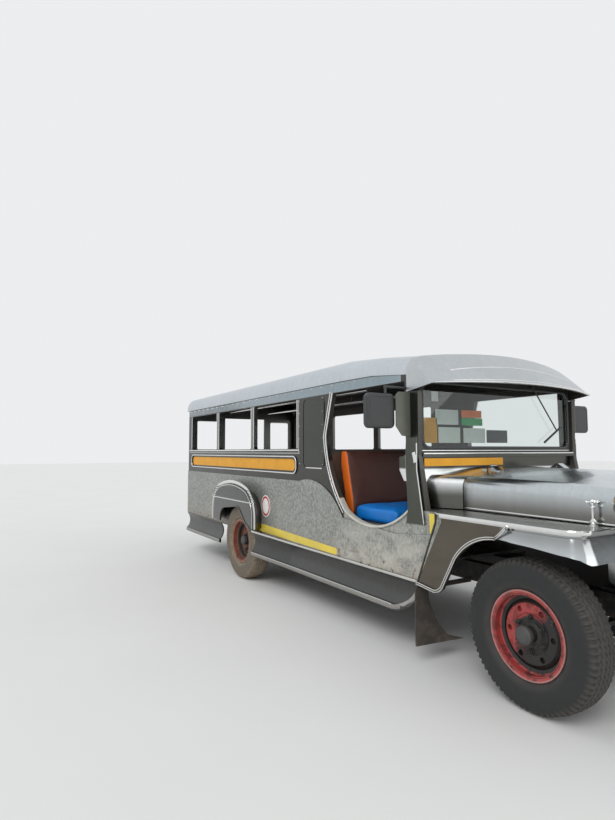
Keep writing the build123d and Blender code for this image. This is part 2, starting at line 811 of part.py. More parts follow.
def front_fender():
    front = outline((along(-120), 0), (along(-120), 845), (along(-37), apron_top), (along(-37), 1500),
                    (along(700), 1500),
                    (along(700), 0))
    ahead = side_prism(front, 0, 1200)
    arch = fender_arch()
    sheet = foot_form(0) - foot_form(fender_sheet)
    sheet += (apron_form(0) - apron_form(fender_sheet)) & ahead
    wall = fender_plan(-groove_depth) - fender_plan(-groove_depth - fender_sheet)
    sheet += plan_prism(wall, apron_top - fender_sheet, fender_top) & ahead
    step = fender_plan(0) - fender_plan(-groove_depth - fender_sheet)
    sheet += plan_prism(step, apron_top - fender_sheet, apron_top) & ahead
    deck = plan_prism(fender_plan(flange_reach), fender_top - fender_sheet, fender_top)
    flange = fender_plan(flange_reach) - fender_plan(flange_reach - fender_sheet)
    deck += plan_prism(flange, fender_top - flange_depth, fender_top)
    sheet += deck & block(along(fender_rear), along(700), 0, 1200, 0, 1500)
    top = block(bulkhead_x, along(fender_rear), fender_inner, fender_outer, fender_top - fender_sheet,
                fender_top)
    top -= block(bulkhead_x - 50, along(-565) + joint_gap, body_half_width - body_wall - joint_gap, 1000, 0,
                 1500)
    sheet += top
    sheet -= side_prism(arch, 0, 1200)
    bead = (offset(arch, amount=arch_bead) - arch) & outline(
        (along(-640), body_bottom), (along(-105), body_bottom), (along(-105), 905), (along(-640), 905))
    sheet += side_prism(bead, fender_outer - fender_sheet, fender_outer + flange_reach)
    edge = outline((along(-128), 848), (along(-106), 846), (along(-24), apron_top), (along(-50), apron_top))
    sheet += side_prism(edge, fender_outer - fender_sheet, fender_outer + 2 * flange_reach + 4)
    sheet -= block(along(-900), along(700), -1000, fender_inner + joint_gap, 0, 1500)
    sheet -= block(along(-900), along(-565) + joint_gap, 0, body_half_width + joint_gap, 0,
                   fender_top - fender_sheet)
    return sheet


# Headlamps: a bowl on a post, carried by an arm from the side of the grille, and a domed lens
def lamp_bowl():
    rear = -lamp_length
    profile = make_face(Polyline((0, rear), (lamp_radius * 0.42, rear))
                        + ThreePointArc((lamp_radius * 0.42, rear), (lamp_radius * 0.84, rear * 0.73),
                                        (lamp_radius, -20))
                        + Polyline((lamp_radius, -20), (lamp_radius, 0), (lamp_radius - 10, 0),
                                   (lamp_radius - 14, -20),
                                   (0, -50), (0, rear)))
    bowl = revolve(Plane.XY * profile, axis=Axis.Y)
    bowl = Pos(along(lamp_front), lamp_place, lamp_height) * (Rot(0, 0, -90) * bowl)
    post_x = along(lamp_front) - lamp_length / 2
    arm_top = lamp_height - lamp_radius
    arm = block(post_x - 22, post_x + 22, 0, lamp_place + 22, arm_top - 14, arm_top)
    arm -= arched_hull(grille_stations)
    arm -= block(post_x - 50, post_x + 50, 0, fender_inner - 40, 0, 2000)
    return bowl + arm + rod((post_x, lamp_place, arm_top - 7), (post_x, lamp_place, lamp_height - 70),
                            lamp_post_radius)


def lamp_lens():
    chord = lamp_radius - 10
    ball_radius = (chord ** 2 + lens_rise ** 2) / (2 * lens_rise)
    profile = Pos(0, joint_gap + lens_rise - ball_radius) * Circle(ball_radius)
    profile &= outline((0, joint_gap), (chord, joint_gap), (chord, 2 * lens_rise), (0, 2 * lens_rise))
    lens = revolve(Plane.XY * profile, axis=Axis.Y)
    return Pos(along(lamp_front), lamp_place, lamp_height) * (Rot(0, 0, -90) * lens)


def front_bumper():
    face = along(front_overhang)
    plan = outline((face - bumper_depth, -bumper_half_width), (face, -bumper_half_width),
                   (face, bumper_half_width),
                   (face - bumper_depth, bumper_half_width))
    plan = fillet(plan.vertices().sort_by(Axis.X)[-2:], 60)
    bar = plan_prism(plan, bumper_bottom, bumper_bottom + bumper_height)
    hollow = block(face - bumper_depth - 10, face - 14, -bumper_half_width + 14, bumper_half_width - 14,
                   bumper_bottom + 14, bumper_bottom + bumper_height - 14)
    bar -= hollow - both_sides(block(face - bumper_depth, face, rail_centre - 45, rail_centre + 45, 0, 1000))
    return bar


# Rear arches: covers that widen outwards from the wall, with an opening in which the wheel shows
def arch_contour(inset):
    """Straight sides, round shoulders and a round crown, drawn in X and Z; the bottom stays level."""
    front = rear_axle + rear_arch_front
    rear = rear_axle - rear_arch_rear
    face = outline((rear, rear_arch_bottom - inset), (rear, rear_arch_eaves),
                   ((front + rear) / 2, rear_arch_ridge),
                   (front, rear_arch_eaves), (front, rear_arch_bottom - inset))
    face = fillet(face.vertices().sort_by(Axis.Y)[-1], rear_arch_crown)
    shoulders = [v for v in face.vertices() if abs(v.Y - rear_arch_eaves) < 1]
    face = fillet(shoulders, rear_arch_shoulder)
    return offset(face, amount=-inset) if inset else face


def arch_cover(inset, start, end):
    """Loft from the narrower outline at the wall to the full one outside, its outer edge rounded."""
    flared = loft([Plane.XZ.offset(-start) * arch_contour(inset + rear_arch_flare),
                   Plane.XZ.offset(-end) * arch_contour(inset)], ruled=True)
    outer = flared.faces().sort_by(Axis.Y)[-1]
    rim = [edge for edge in outer.edges() if edge.center().Z > rear_arch_bottom + 1]
    return fillet(rim, rear_arch_edge - inset)


def arch_opening():
    """The wheel opening: its top rises forwards, its front edge slants down as far as the cover's bottom."""
    face = outline((rear_axle - 430, 480), (rear_axle - 400, rear_opening_low),
                   (rear_axle + 70, rear_opening_top),
                   (rear_axle + 250, 590), (rear_axle + 400, 530), (rear_axle + 400, 480))
    top = [v for v in face.vertices() if v.Y > rear_opening_low - 1]
    face = fillet(top, 120)
    bend = [v for v in face.vertices() if abs(v.Y - 590) < 1]
    return fillet(bend, 110)


def rear_arch():
    start = body_half_width + joint_gap
    cover = arch_cover(0, start, rear_arch_face)
    cover -= arch_cover(rear_arch_sheet, start, rear_arch_face - rear_arch_sheet)
    opening = arch_opening()
    cover -= block(rear_axle - 400, rear_axle + 340, start - 10, rear_arch_face - 60, 0,
                   rear_arch_bottom + 40)
    cover -= side_prism(opening, rear_arch_face - 60, rear_arch_face + 5)
    lip = offset(opening, amount=14) - opening
    lip &= outline((rear_axle - 600, rear_arch_bottom), (rear_axle + 390, rear_arch_bottom),
                   (rear_axle + 390, 900), (rear_axle - 600, 900))
    return cover + side_prism(lip, rear_arch_face - rear_arch_sheet, rear_arch_face + 6)


# Side skirts: a coved sheet below the rub rail with a folded lip
def skirt_section(out, up):
    """The sheet in Y and Z, moved outwards and upwards."""
    face = body_half_width
    middle = (body_bottom + skirt_lip) / 2
    cove = ThreePointArc((face, body_bottom), (face - skirt_cove, middle), (face + 6, skirt_lip))
    back = ThreePointArc((face + 6 - skirt_sheet, skirt_lip), (face - skirt_cove - skirt_sheet, middle),
                         (face - skirt_sheet, body_bottom))
    section = make_face(cove + Polyline((face + 6, skirt_lip), (face + 16, skirt_lip),
                                        (face + 16, skirt_low),
                                        (face + 6 - skirt_sheet, skirt_low),
                                        (face + 6 - skirt_sheet, skirt_lip))
                        + back + Line((face - skirt_sheet, body_bottom), (face, body_bottom)))
    return Pos(out, up) * section


def front_skirt():
    """From the fender's foot to the rear arch: cut round at the front, swept outwards at the rear."""
    x0 = rear_axle + skirt_end
    x1 = along(-795)
    bend = rear_axle + skirt_sweep_start
    keep = make_face(Polyline((bend - 5, body_bottom + 5), (bend - 5, skirt_low - 5), (x1 - 230, skirt_low))
                     + ThreePointArc((x1 - 230, skirt_low), (x1 - 70, 330), (x1, body_bottom))
                     + Polyline((x1, body_bottom), (x1, body_bottom + 5), (bend - 5, body_bottom + 5)))
    sheet = cross_prism(skirt_section(0, 0), bend, x1) & side_prism(keep, 0, 1000)
    sheet += loft([Plane.YZ.offset(x0) * skirt_section(skirt_sweep_out, skirt_sweep_up),
                   Plane.YZ.offset(bend) * skirt_section(0, 0)], ruled=True)
    sheet -= block(x0, x1, 0, body_half_width, body_bottom, body_bottom + 100)
    return sheet - rub_rail()


def side_skirts():
    x1 = rear_axle - rear_arch_rear - skirt_arch_gap
    return both_sides(front_skirt() + cross_prism(skirt_section(0, 0), rear_end, x1))


# Rear wall with the passenger entry and two windows
def rear_panel():
    wall = block(rear_end, rear_end + body_wall, -inner_half, inner_half, floor_top, 2200)
    wall -= block(rear_end - 5, rear_end + body_wall + 5, -entry_half, entry_half, floor_top - 5,
                  window_head)
    pane = rounded_panel(entry_half + 90, inner_half - 70, window_sill, window_head - 40, window_corner)
    wall -= both_sides(cross_prism(pane, rear_end - 5, rear_end + body_wall + 5))
    under_roof = arched_hull(roof_stations, inset=roof_thickness + joint_gap,
                             base_drop=seam_height - body_bottom)
    return wall & under_roof


def rear_step():
    tread = block(rear_end - 260, rear_end - 20, -430, 430, 392, 412)
    for number in range(7):
        slot = rear_end - 235 + number * 30
        tread -= block(slot, slot + 14, -330, 330, 380, 420)
    hanger = block(rear_end - 40, rear_end, rail_centre - 30, rail_centre + 30, 392, rail_top)
    return tread + both_sides(hanger)


def tail_lamps():
    lamp = block(rear_end - 34, rear_end, 640, 740, 980, 1120)
    return both_sides(fillet(lamp.edges().filter_by(Axis.X), 20))


# Cab inside
def cab_partition():
    panel = block(along(partition - 25), along(partition), -inner_half, inner_half, floor_top,
                  partition_height)
    rail_tube = cross_rod(along(partition - 12.5), partition_height, -inner_half, inner_half, 12)
    return panel + rail_tube


def front_seat_cushion():
    pad = block(along(seat_rear), along(seat_front), -seat_half, seat_half, seat_box_top + joint_gap,
                cushion_top)
    edges = pad.edges().filter_by(Axis.Y).sort_by(Axis.Z)[-2:]
    return fillet(edges, 35)


def front_seat_back():
    front = along(seat_rear) - joint_gap
    rear = along(partition) + joint_gap
    low = seat_box_top + joint_gap
    face = outline((along(seat_rear - 110), low), (front, low), (front, cushion_top),
                   (rear + 95, seat_back_top),
                   (rear, seat_back_top), (rear, seat_back_top - 135))
    return side_prism(face, -seat_half, seat_half)


def steering_points():
    lean = radians(column_angle)
    hub = Vector(along(wheel_place), wheel_side, wheel_height)
    down = Vector(cos(lean), 0, -sin(lean))
    return hub, down


def steering_column():
    hub, down = steering_points()
    start = hub + down * 22
    column = rod(tuple(start), tuple(start + down * 520), column_radius)
    column &= block(along(-2000), bulkhead_x - bulkhead_thickness - joint_gap, 0, 1000, 0, 2000)
    column += rod(tuple(hub - down * 12), tuple(start + down * 10), steering_shaft_radius)
    return column


def steering_wheel():
    hub, down = steering_points()
    plane = Plane(origin=tuple(hub), z_dir=tuple(down * -1), x_dir=(0, 1, 0))
    ring = Torus(steering_wheel_radius, grip_radius)
    boss = Pos(0, 0, 2) * Cylinder(34, 32)
    wheel = ring + boss
    for turn in (0, 90, 180):
        spoke = Rot(0, 0, turn) * (Pos(steering_wheel_radius / 2, 0, 0) * Box(steering_wheel_radius, 24, 10))
        wheel += spoke
    wheel -= Pos(0, 0, -15) * Cylinder(steering_shaft_radius + running_fit, 60)
    return plane * wheel


# Passenger benches along both sides
def bench_frames():
    start = rear_end + body_wall + joint_gap
    end = along(bench_front)
    frame = block(start, end, bench_edge, bench_edge + 15, floor_top, bench_top)
    frame += block(start, end, bench_edge, inner_half, bench_top - 18, bench_top)
    for x in (start, end - 15):
        frame += block(x, x + 15, bench_edge, inner_half, floor_top, bench_top)
    return both_sides(frame)


def bench_cushions():
    start = rear_end + body_wall + 20
    pad = block(start, along(bench_front) - 10, bench_edge - 5, inner_half - 25, bench_top + joint_gap,
                bench_top + bench_cushion)
    return both_sides(fillet(pad.edges().filter_by(Axis.X).sort_by(Axis.Z)[-2:], 25))


def ceiling_rails():
    lane = 300
    level = 1850
    node = rod((rear_end + 120, lane, level), (along(-2000), lane, level), 14)
    for place in (-2100, -3100, -4100, -5100):
        drop = rod((along(place), lane, level), (along(place), lane, 2200), 8)
        node += drop & arched_hull(roof_stations, inset=roof_thickness + joint_gap, base_drop=400)
    return both_sides(node)


# Fittings on the cab
def side_mirrors():
    face = rounded_panel(mirror_middle - mirror_size / 2, mirror_middle + mirror_size / 2,
                         mirror_height - mirror_size / 2, mirror_height + mirror_size / 2, 35)
    case = cross_prism(face, along(-905), along(-865))
    case = fillet(case.faces().sort_by(Axis.X)[-1].edges(), 12)
    arm_level = 1725
    case += rod((along(-885), body_half_width + joint_gap, arm_level),
                (along(-885), mirror_middle - 40, arm_level), 9)
    case += rod((along(-885), mirror_middle - 49, arm_level + 9), (along(-885), mirror_middle - 49, 1670), 9)
    return both_sides(case)


def wind_deflectors():
    face = outline((body_half_width + joint_gap, 1400), (body_half_width + 70, 1410),
                   (body_half_width + 118, 1470),
                   (body_half_width + 118, 1670), (body_half_width + 95, 1694),
                   (body_half_width + joint_gap, 1694))
    return both_sides(cross_prism(face, along(-850), along(-842)))


def wiper():
    front = bulkhead_x + 8 + joint_gap
    pivot = rod((front, 330, 1785), (front + 22, 330, 1785), 14)
    arm = rod((front + 14, 330, 1785), (front + 14, 600, 1465), 5)
    blade = rod((front + 14, 650, 1490), (front + 14, 450, 1372), 8)
    return pivot + arm + blade


def mud_flaps():
    """In front a sheet cut round on its inner side, on a bar from the rail; behind a plain sheet."""
    bar_top = rail_bottom + 18
    sheet = make_face(Polyline((640, 150), (503, flap_low - 4), (flap_outer, flap_low + 13),
                               (flap_outer, bar_top - 8),
                               (800, bar_top - 8), (800, 400))
                      + ThreePointArc((800, 400), (735, 260), (640, 150)))
    front = cross_prism(sheet, along(flap_place) - flap_thickness, along(flap_place))
    front += block(along(flap_place) - flap_thickness - 14, along(flap_place) - flap_thickness,
                   rail_centre + rail_width / 2 + joint_gap, flap_outer - 20, bar_top - 28, bar_top)
    rear_x = rear_axle + rear_flap_place
    rear = block(rear_x, rear_x + flap_thickness, rear_wheel_middle - 200, inner_half, flap_low + 65,
                 floor_bottom)
    return both_sides(front + rear)


# Wheels: Y is the wheel's axis, and w runs outwards from the middle of the tyre
def tyre():
    half = tyre_width / 2
    bead = rim_seat_radius + bead_clearance
    edge = rim_width / 2 - rim_thickness - 2

    def casing(skin):
        side = [(bead - skin, edge - skin), (rim_flange_radius + 3, edge - skin),
                (rim_flange_radius + 10, half - 14 - skin), (295, half - skin),
                (tyre_radius - 22, half - 10 - skin), (tyre_radius - 6 - skin, half - 32 - skin),
                (tyre_radius - skin, half - 55 - skin)]
        return outline(*side, *[(r, -w) for r, w in reversed(side)])

    section = casing(0) - (casing(tyre_wall) & outline((bead + 12, -200), (500, -200), (500, 200),
                                                       (bead + 12, 200)))
    return revolve(Plane.XY * section, axis=Axis.Y)


def wheel_disc(disc_out, hub_out, shaft_radius_used, hub_in):
    """Rim, pressed disc, hub and brake drum; the disc's middle stands disc_out from the tyre's middle."""
    edge = rim_width / 2
    rim = [(rim_flange_radius, edge), (rim_flange_radius, edge - 6), (rim_seat_radius, edge - rim_thickness),
           (rim_seat_radius, 34), (rim_well_radius, 24), (rim_well_radius, -24), (rim_seat_radius, -34),
           (rim_seat_radius, rim_thickness - edge), (rim_flange_radius, 6 - edge),
           (rim_flange_radius, -edge),
           (rim_seat_radius - rim_thickness, -edge + 4), (rim_seat_radius - rim_thickness, -38),
           (rim_well_radius - rim_thickness, -28), (rim_well_radius - rim_thickness, 28),
           (rim_seat_radius - rim_thickness, 38), (rim_seat_radius - rim_thickness, edge - 4)]
    wheel = revolve(Plane.XY * outline(*rim), axis=Axis.Y)
    disc = outline((rim_well_radius - 2, disc_out / 4 - 6), (rim_well_radius - 2, disc_out / 4 + 6),
                   (150, disc_out + 6), (105, disc_out + 6), (95, disc_out), (50, disc_out),
                   (50, disc_out - 9),
                   (105, disc_out - 9), (150, disc_out - 6))
    wheel += revolve(Plane.XY * disc, axis=Axis.Y)
    for number in range(disc_hole_count):
        turn = Rot(0, number * 360 / disc_hole_count, 0)
        wheel -= turn * (Pos(disc_hole_circle, disc_out, 0) * (Rot(90, 0, 0) * Cylinder(disc_hole_radius,
                                                                                        60)))
    hub = outline((shaft_radius_used + running_fit, hub_in), (hub_radius, hub_in), (hub_radius, disc_out),
                  (hub_cap_radius, disc_out + 8), (hub_cap_radius, hub_out - 8),
                  (hub_cap_radius - 8, hub_out),
                  (0, hub_out), (0, hub_out - 8), (shaft_radius_used + running_fit, hub_out - 8))
    wheel += revolve(Plane.XY * hub, axis=Axis.Y)
    drum = outline((hub_radius - 4, disc_out - 8), (drum_radius, disc_out - 12),
                   (drum_radius, disc_out - drum_width),
                   (drum_radius - 10, disc_out - drum_width), (drum_radius - 10, disc_out - 20),
                   (hub_radius - 4, disc_out - 20))
    wheel += revolve(Plane.XY * drum, axis=Axis.Y)
    return wheel


wheel_places = {"front_left": (front_axle, front_wheel_middle, 1),
                "front_right": (front_axle, front_wheel_middle, -1),
                "rear_left": (rear_axle, rear_wheel_middle, 1),
                "rear_right": (rear_axle, rear_wheel_middle, -1)}


def set_wheel(part, place):
    x, middle, side = wheel_places[place]
    placed = Pos(x, middle, axle_height) * part
    return placed if side > 0 else other_side(placed)


nodes = {
    "chassis_rails": chassis_rails(),
    "crossmembers": crossmembers(),
    "front_axle": front_axle_beam(),
    "steering_knuckle_left": steering_knuckle(),
    "steering_knuckle_right": other_side(steering_knuckle()),
    "rear_axle": rear_axle_housing(),
    "leaf_springs": leaf_springs(),
    "propeller_shaft": propeller_shaft(),
    "engine_block": engine_block(),
    "fuel_tank": fuel_tank(),
    "exhaust": exhaust(),
    "body_floor": body_floor(),
    "body_side_left": body_side(),
    "body_side_right": other_side(body_side()),
    "roof": roof(),
    "roof_visor": roof_visor(),
    "windscreen_frame": windscreen_frame(),
    "windscreen_glass": windscreen_glass(),
    "cowl": cowl(),
    "hood": hood(),
    "grille": grille(),
    "front_fenders": both_sides(front_fender()),
    "headlamps": both_sides(lamp_bowl()),
    "headlamp_lenses": both_sides(lamp_lens()),
    "front_bumper": front_bumper(),
    "rear_arches": both_sides(rear_arch()),
    "side_skirts": side_skirts(),
    "rear_panel": rear_panel(),
    "rear_step": rear_step(),
    "tail_lamps": tail_lamps(),
    "cab_partition": cab_partition(),
    "front_seat_cushion": front_seat_cushion(),
    "front_seat_back": front_seat_back(),
    "steering_column": steering_column(),
    "steering_wheel": steering_wheel(),
    "bench_frames": bench_frames(),
    "bench_cushions": bench_cushions(),
    "ceiling_rails": ceiling_rails(),
    "side_mirrors": side_mirrors(),
    "wind_deflectors": wind_deflectors(),
    "wiper": wiper(),
    "mud_flaps": mud_flaps(),
}
for place in wheel_places:
    if place.startswith("front"):
        disc = wheel_disc(front_disc_out, front_hub_outer, spindle_radius, -front_hub_inner)
    else:
        disc = wheel_disc(rear_disc_out, rear_hub_outer, axle_stub_radius, -rear_hub_inner)
    nodes["tyre_" + place] = set_wheel(tyre(), place)
    nodes["wheel_" + place] = set_wheel(disc, place)

os.makedirs("parts", exist_ok=True)
for name, part in nodes.items():
    part.label = name
    export_step(part, "parts/" + name + ".step")
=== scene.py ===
import bpy
import bmesh
import numpy as np
from math import radians, cos, sin, pi
from mathutils import Vector, Matrix


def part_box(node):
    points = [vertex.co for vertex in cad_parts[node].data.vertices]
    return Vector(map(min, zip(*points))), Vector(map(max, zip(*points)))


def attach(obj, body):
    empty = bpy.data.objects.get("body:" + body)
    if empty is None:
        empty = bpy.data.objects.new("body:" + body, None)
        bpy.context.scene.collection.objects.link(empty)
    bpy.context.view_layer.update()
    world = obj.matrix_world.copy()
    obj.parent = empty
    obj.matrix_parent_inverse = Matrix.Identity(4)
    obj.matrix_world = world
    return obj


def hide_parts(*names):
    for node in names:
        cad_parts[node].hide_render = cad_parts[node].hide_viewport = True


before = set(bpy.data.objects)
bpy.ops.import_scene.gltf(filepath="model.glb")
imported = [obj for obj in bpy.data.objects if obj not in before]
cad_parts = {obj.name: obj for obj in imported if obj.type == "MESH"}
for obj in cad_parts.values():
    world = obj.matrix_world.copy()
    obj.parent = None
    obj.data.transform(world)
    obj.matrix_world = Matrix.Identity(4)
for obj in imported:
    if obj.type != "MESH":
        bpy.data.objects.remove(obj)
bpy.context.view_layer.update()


def middleOf(node):
    return [(low + high) / 2 for low, high in zip(*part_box(node))]


frontAxle = middleOf("tyre_front_left")[0]
rearAxle = middleOf("tyre_rear_left")[0]
wallFace = 0.82    # outer face of the side walls
corners = ("front_left", "front_right", "rear_left", "rear_right")
sides = (("left", 1), ("right", -1))
print("frame loaded, axles at", round(frontAxle, 3), round(rearAxle, 3))

# camera: fitted to the photograph, 615 x 820 px
cameraView = {
    "place": (4.304, -3.203, 1.312),
    "yaw": 30.457,      # turn of the view from the -X direction towards +Y
    "pitch": 4.29,      # upwards
    "roll": -0.14,
    "focalPixels": 545,
    "imageHeight": 820,
    "sensor": 36,
}


def makeCamera():
    view = cameraView
    data = bpy.data.cameras.new("camera")
    data.sensor_fit = "VERTICAL"
    data.sensor_height = view["sensor"]
    data.lens = view["focalPixels"] / view["imageHeight"] * view["sensor"]
    data.clip_end = 200
    yaw, pitch = radians(view["yaw"]), radians(view["pitch"])
    look = Vector((-cos(yaw) * cos(pitch), sin(yaw) * cos(pitch), sin(pitch)))
    camera = bpy.data.objects.new("camera", data)
    bpy.context.collection.objects.link(camera)
    turn = look.to_track_quat("-Z", "Y").to_matrix() @ Matrix.Rotation(radians(view["roll"]), 3, "Z")
    camera.matrix_world = Matrix.Translation(view["place"]) @ turn.to_4x4()
    bpy.context.scene.camera = camera


makeCamera()


# shader maths
class Value:
    # a shader socket that can stand in a sum or product
    def __init__(self, material, socket):
        self.material = material
        self.socket = socket

    def maths(self, operation, first, second):
        return self.material.node("ShaderNodeMath", {"operation": operation}, {0: first, 1: second})

    def __add__(self, other):
        return self.maths("ADD", self, other)

    __radd__ = __add__

    def __sub__(self, other):
        return self.maths("SUBTRACT", self, other)

    def __rsub__(self, other):
        return self.maths("SUBTRACT", other, self)

    def __mul__(self, other):
        return self.maths("MULTIPLY", self, other)

    __rmul__ = __mul__

    def __gt__(self, other):
        return self.maths("GREATER_THAN", self, other)

    def __lt__(self, other):
        return self.maths("LESS_THAN", self, other)

    def between(self, low, high):
        # 0 below low, 1 above high, a smooth step between them
        inputs = {"Value": self, "From Min": low, "From Max": high}
        return self.material.node("ShaderNodeMapRange", {"interpolation_type": "SMOOTHSTEP"}, inputs)


def rgba(colour):
    return colour if isinstance(colour, Value) else (*colour, 1)


class Finish:
    def __init__(self, name):
        self.data = bpy.data.materials.new(name)
        self.data.use_nodes = True
        self.tree = self.data.node_tree
        self.tree.nodes.clear()
        self.place = self.node("ShaderNodeTexCoord", output="Object")
        self.x, self.y, self.z = self.split(self.place)

    def node(self, kind, settings=None, inputs=None, output=0):
        node = self.tree.nodes.new(kind)
        for name, value in (settings or {}).items():
            setattr(node, name, value)
        for name, value in (inputs or {}).items():
            if isinstance(value, Value):
                self.tree.links.new(value.socket, node.inputs[name])
            else:
                node.inputs[name].default_value = value
        return Value(self, node.outputs[output])

    def split(self, vector):
        node = self.node("ShaderNodeSeparateXYZ", {}, {0: vector}).socket.node
        return [Value(self, socket) for socket in node.outputs]

    def moved(self, centre=(0, 0, 0), stretch=(1, 1, 1)):
        back = [-value * scale for value, scale in zip(centre, stretch)]
        inputs = {"Vector": self.place, "Location": back, "Scale": stretch}
        return self.node("ShaderNodeMapping", {"vector_type": "POINT"}, inputs)

    def noise(self, scale, detail=3, roughness=0.55, stretch=(1, 1, 1)):
        inputs = {"Vector": self.moved(stretch=stretch), "Scale": scale, "Detail": detail,
                  "Roughness": roughness}
        return self.node("ShaderNodeTexNoise", {}, inputs)

    def cells(self, scale, stretch=(1, 1, 1)):
        # one random value for each cell
        inputs = {"Vector": self.moved(stretch=stretch), "Scale": scale}
        colour = self.node("ShaderNodeTexVoronoi", {}, inputs, "Color")
        return self.node("ShaderNodeSeparateColor", {}, {0: colour})

    def radius(self, centre):
        # distance from an axle line, in X and Z
        inputs = {0: self.moved(centre, (1, 0, 1))}
        return self.node("ShaderNodeVectorMath", {"operation": "LENGTH"}, inputs, "Value")

    def mix(self, share, first, second):
        inputs = {0: share, 6: rgba(first), 7: rgba(second)}
        return self.node("ShaderNodeMix", {"data_type": "RGBA", "clamp_factor": True}, inputs, 2)

    def shade(self, colour, factor):
        # a colour made lighter or darker by a value
        tint = self.node("ShaderNodeCombineColor", {}, {0: factor, 1: factor, 2: factor})
        inputs = {0: 1.0, 6: rgba(colour), 7: tint}
        return self.node("ShaderNodeMix", {"data_type": "RGBA", "blend_type": "MULTIPLY"}, inputs, 2)

    def bump(self, height, strength, distance):
        return self.node("ShaderNodeBump", {}, {"Height": height, "Strength": strength, "Distance": distance})

    def inward(self, level):
        # 1 on faces that look towards the cabin's middle line at this level
        forwards, across, up = self.split(self.node("ShaderNodeNewGeometry", output="Normal"))
        return (self.y * across + (self.z - level) * up) < -0.02

    def surface(self, **inputs):
        named = {name.replace("_", " "): rgba(value) if isinstance(value, tuple) else value
                 for name, value in inputs.items()}
        shader = self.node("ShaderNodeBsdfPrincipled", {}, named)
        output = self.tree.nodes.new("ShaderNodeOutputMaterial")
        self.tree.links.new(shader.socket, output.inputs[0])
        return self.data


# finishes
# painted reflection: each row's colours stand for what the stainless reflects, light for the sky on the hood,
# cowl, roof and visor, dark for the ground and trees on the walls
sheetColumns = ("high", "low", "patch", "spangle", "rough", "waves")
sheetRows = {    # upper colour, lower colour, patchiness, spangle, roughness, waves in the sheet
    "wall": ((0.085, 0.085, 0.08), (0.1, 0.1, 0.095), 0.5, 0.1, 0.3, 0.1),
    # hood: painted reflection, light sky above and dark ground below; cowl: its light upper colour is a
    # painted highlight on the top shoulder
    "hood": ((0.58, 0.62, 0.64), (0.2, 0.195, 0.18), 0.35, 0.04, 0.22, 0.14),
    "cowl": ((0.78, 0.8, 0.79), (0.13, 0.13, 0.115), 0.35, 0.04, 0.26, 0.1),
    "visor": ((0.54, 0.565, 0.58), (0.46, 0.48, 0.49), 0.3, 0.04, 0.36, 0.08),
    # roof: its bluish white is a painted reflection of the sky
    "roof": ((0.6, 0.64, 0.67), (0.5, 0.54, 0.57), 0.2, 0.05, 0.42, 0.06),
    "skirt": ((0.12, 0.12, 0.12), (0.1, 0.1, 0.098), 0.5, 0.05, 0.33, 0.08),
    "lip": ((0.4, 0.4, 0.39), (0.36, 0.35, 0.33), 0.5, 0.1, 0.35, 0.05),
    "arch": ((0.13, 0.135, 0.13), (0.16, 0.16, 0.155), 0.5, 0.12, 0.3, 0.08),
    "pillar": ((0.1, 0.105, 0.09), (0.09, 0.09, 0.078), 0.6, 0.08, 0.3, 0.06),
    "pressing": ((0.075, 0.08, 0.07), (0.085, 0.09, 0.08), 0.4, 0.04, 0.25, 0.05),
    "fascia": ((0.3, 0.36, 0.39), (0.3, 0.35, 0.38), 0.5, 0.04, 0.25, 0.06),
    "trim": ((0.8, 0.8, 0.79), (0.66, 0.66, 0.64), 0.25, 0.0, 0.16, 0.03),
    "grille": ((0.42, 0.43, 0.43), (0.3, 0.3, 0.3), 0.3, 0.03, 0.22, 0.06),
}
sheetFaces = {    # colour of the faces that look inwards at a level, heights where the painted reflection goes from the lower to the upper colour, other faces
    "wall": {"inside": (0.06, 0.055, 0.045), "level": 1.3, "panel": (0.36, 0.37, 0.345)},
    "hood": {"inside": (0.05, 0.05, 0.05), "level": 1.0, "reflectionHeights": (0.96, 1.11)},
    "cowl": {"inside": (0.05, 0.05, 0.05), "level": 1.0, "reflectionHeights": (1.02, 1.13), "ledge": (0.1, 0.1, 0.09),
             "ledgeLevel": (1.185, 1.2)},
    "visor": {"inside": (0.045, 0.035, 0.028), "level": 1.6},
    "roof": {"inside": (0.035, 0.03, 0.027), "level": 1.6},
}
# the raised lower panel and the sheet under the door, in metres; X from the front axle
panelLook = {"face": 0.8235, "top": 1.07, "underDoor": 0.935, "doorRear": -1.62, "scuffed": (0.56, 0.92),
             "scuffEnd": (-1.9, -1.5), "dusty": (0.48, 0.72), "rusty": (0.535, 0.60),
             "scuffColour": (0.55, 0.53, 0.47), "dustColour": (0.32, 0.27, 0.2),
             "rustColour": (0.1, 0.04, 0.022)}


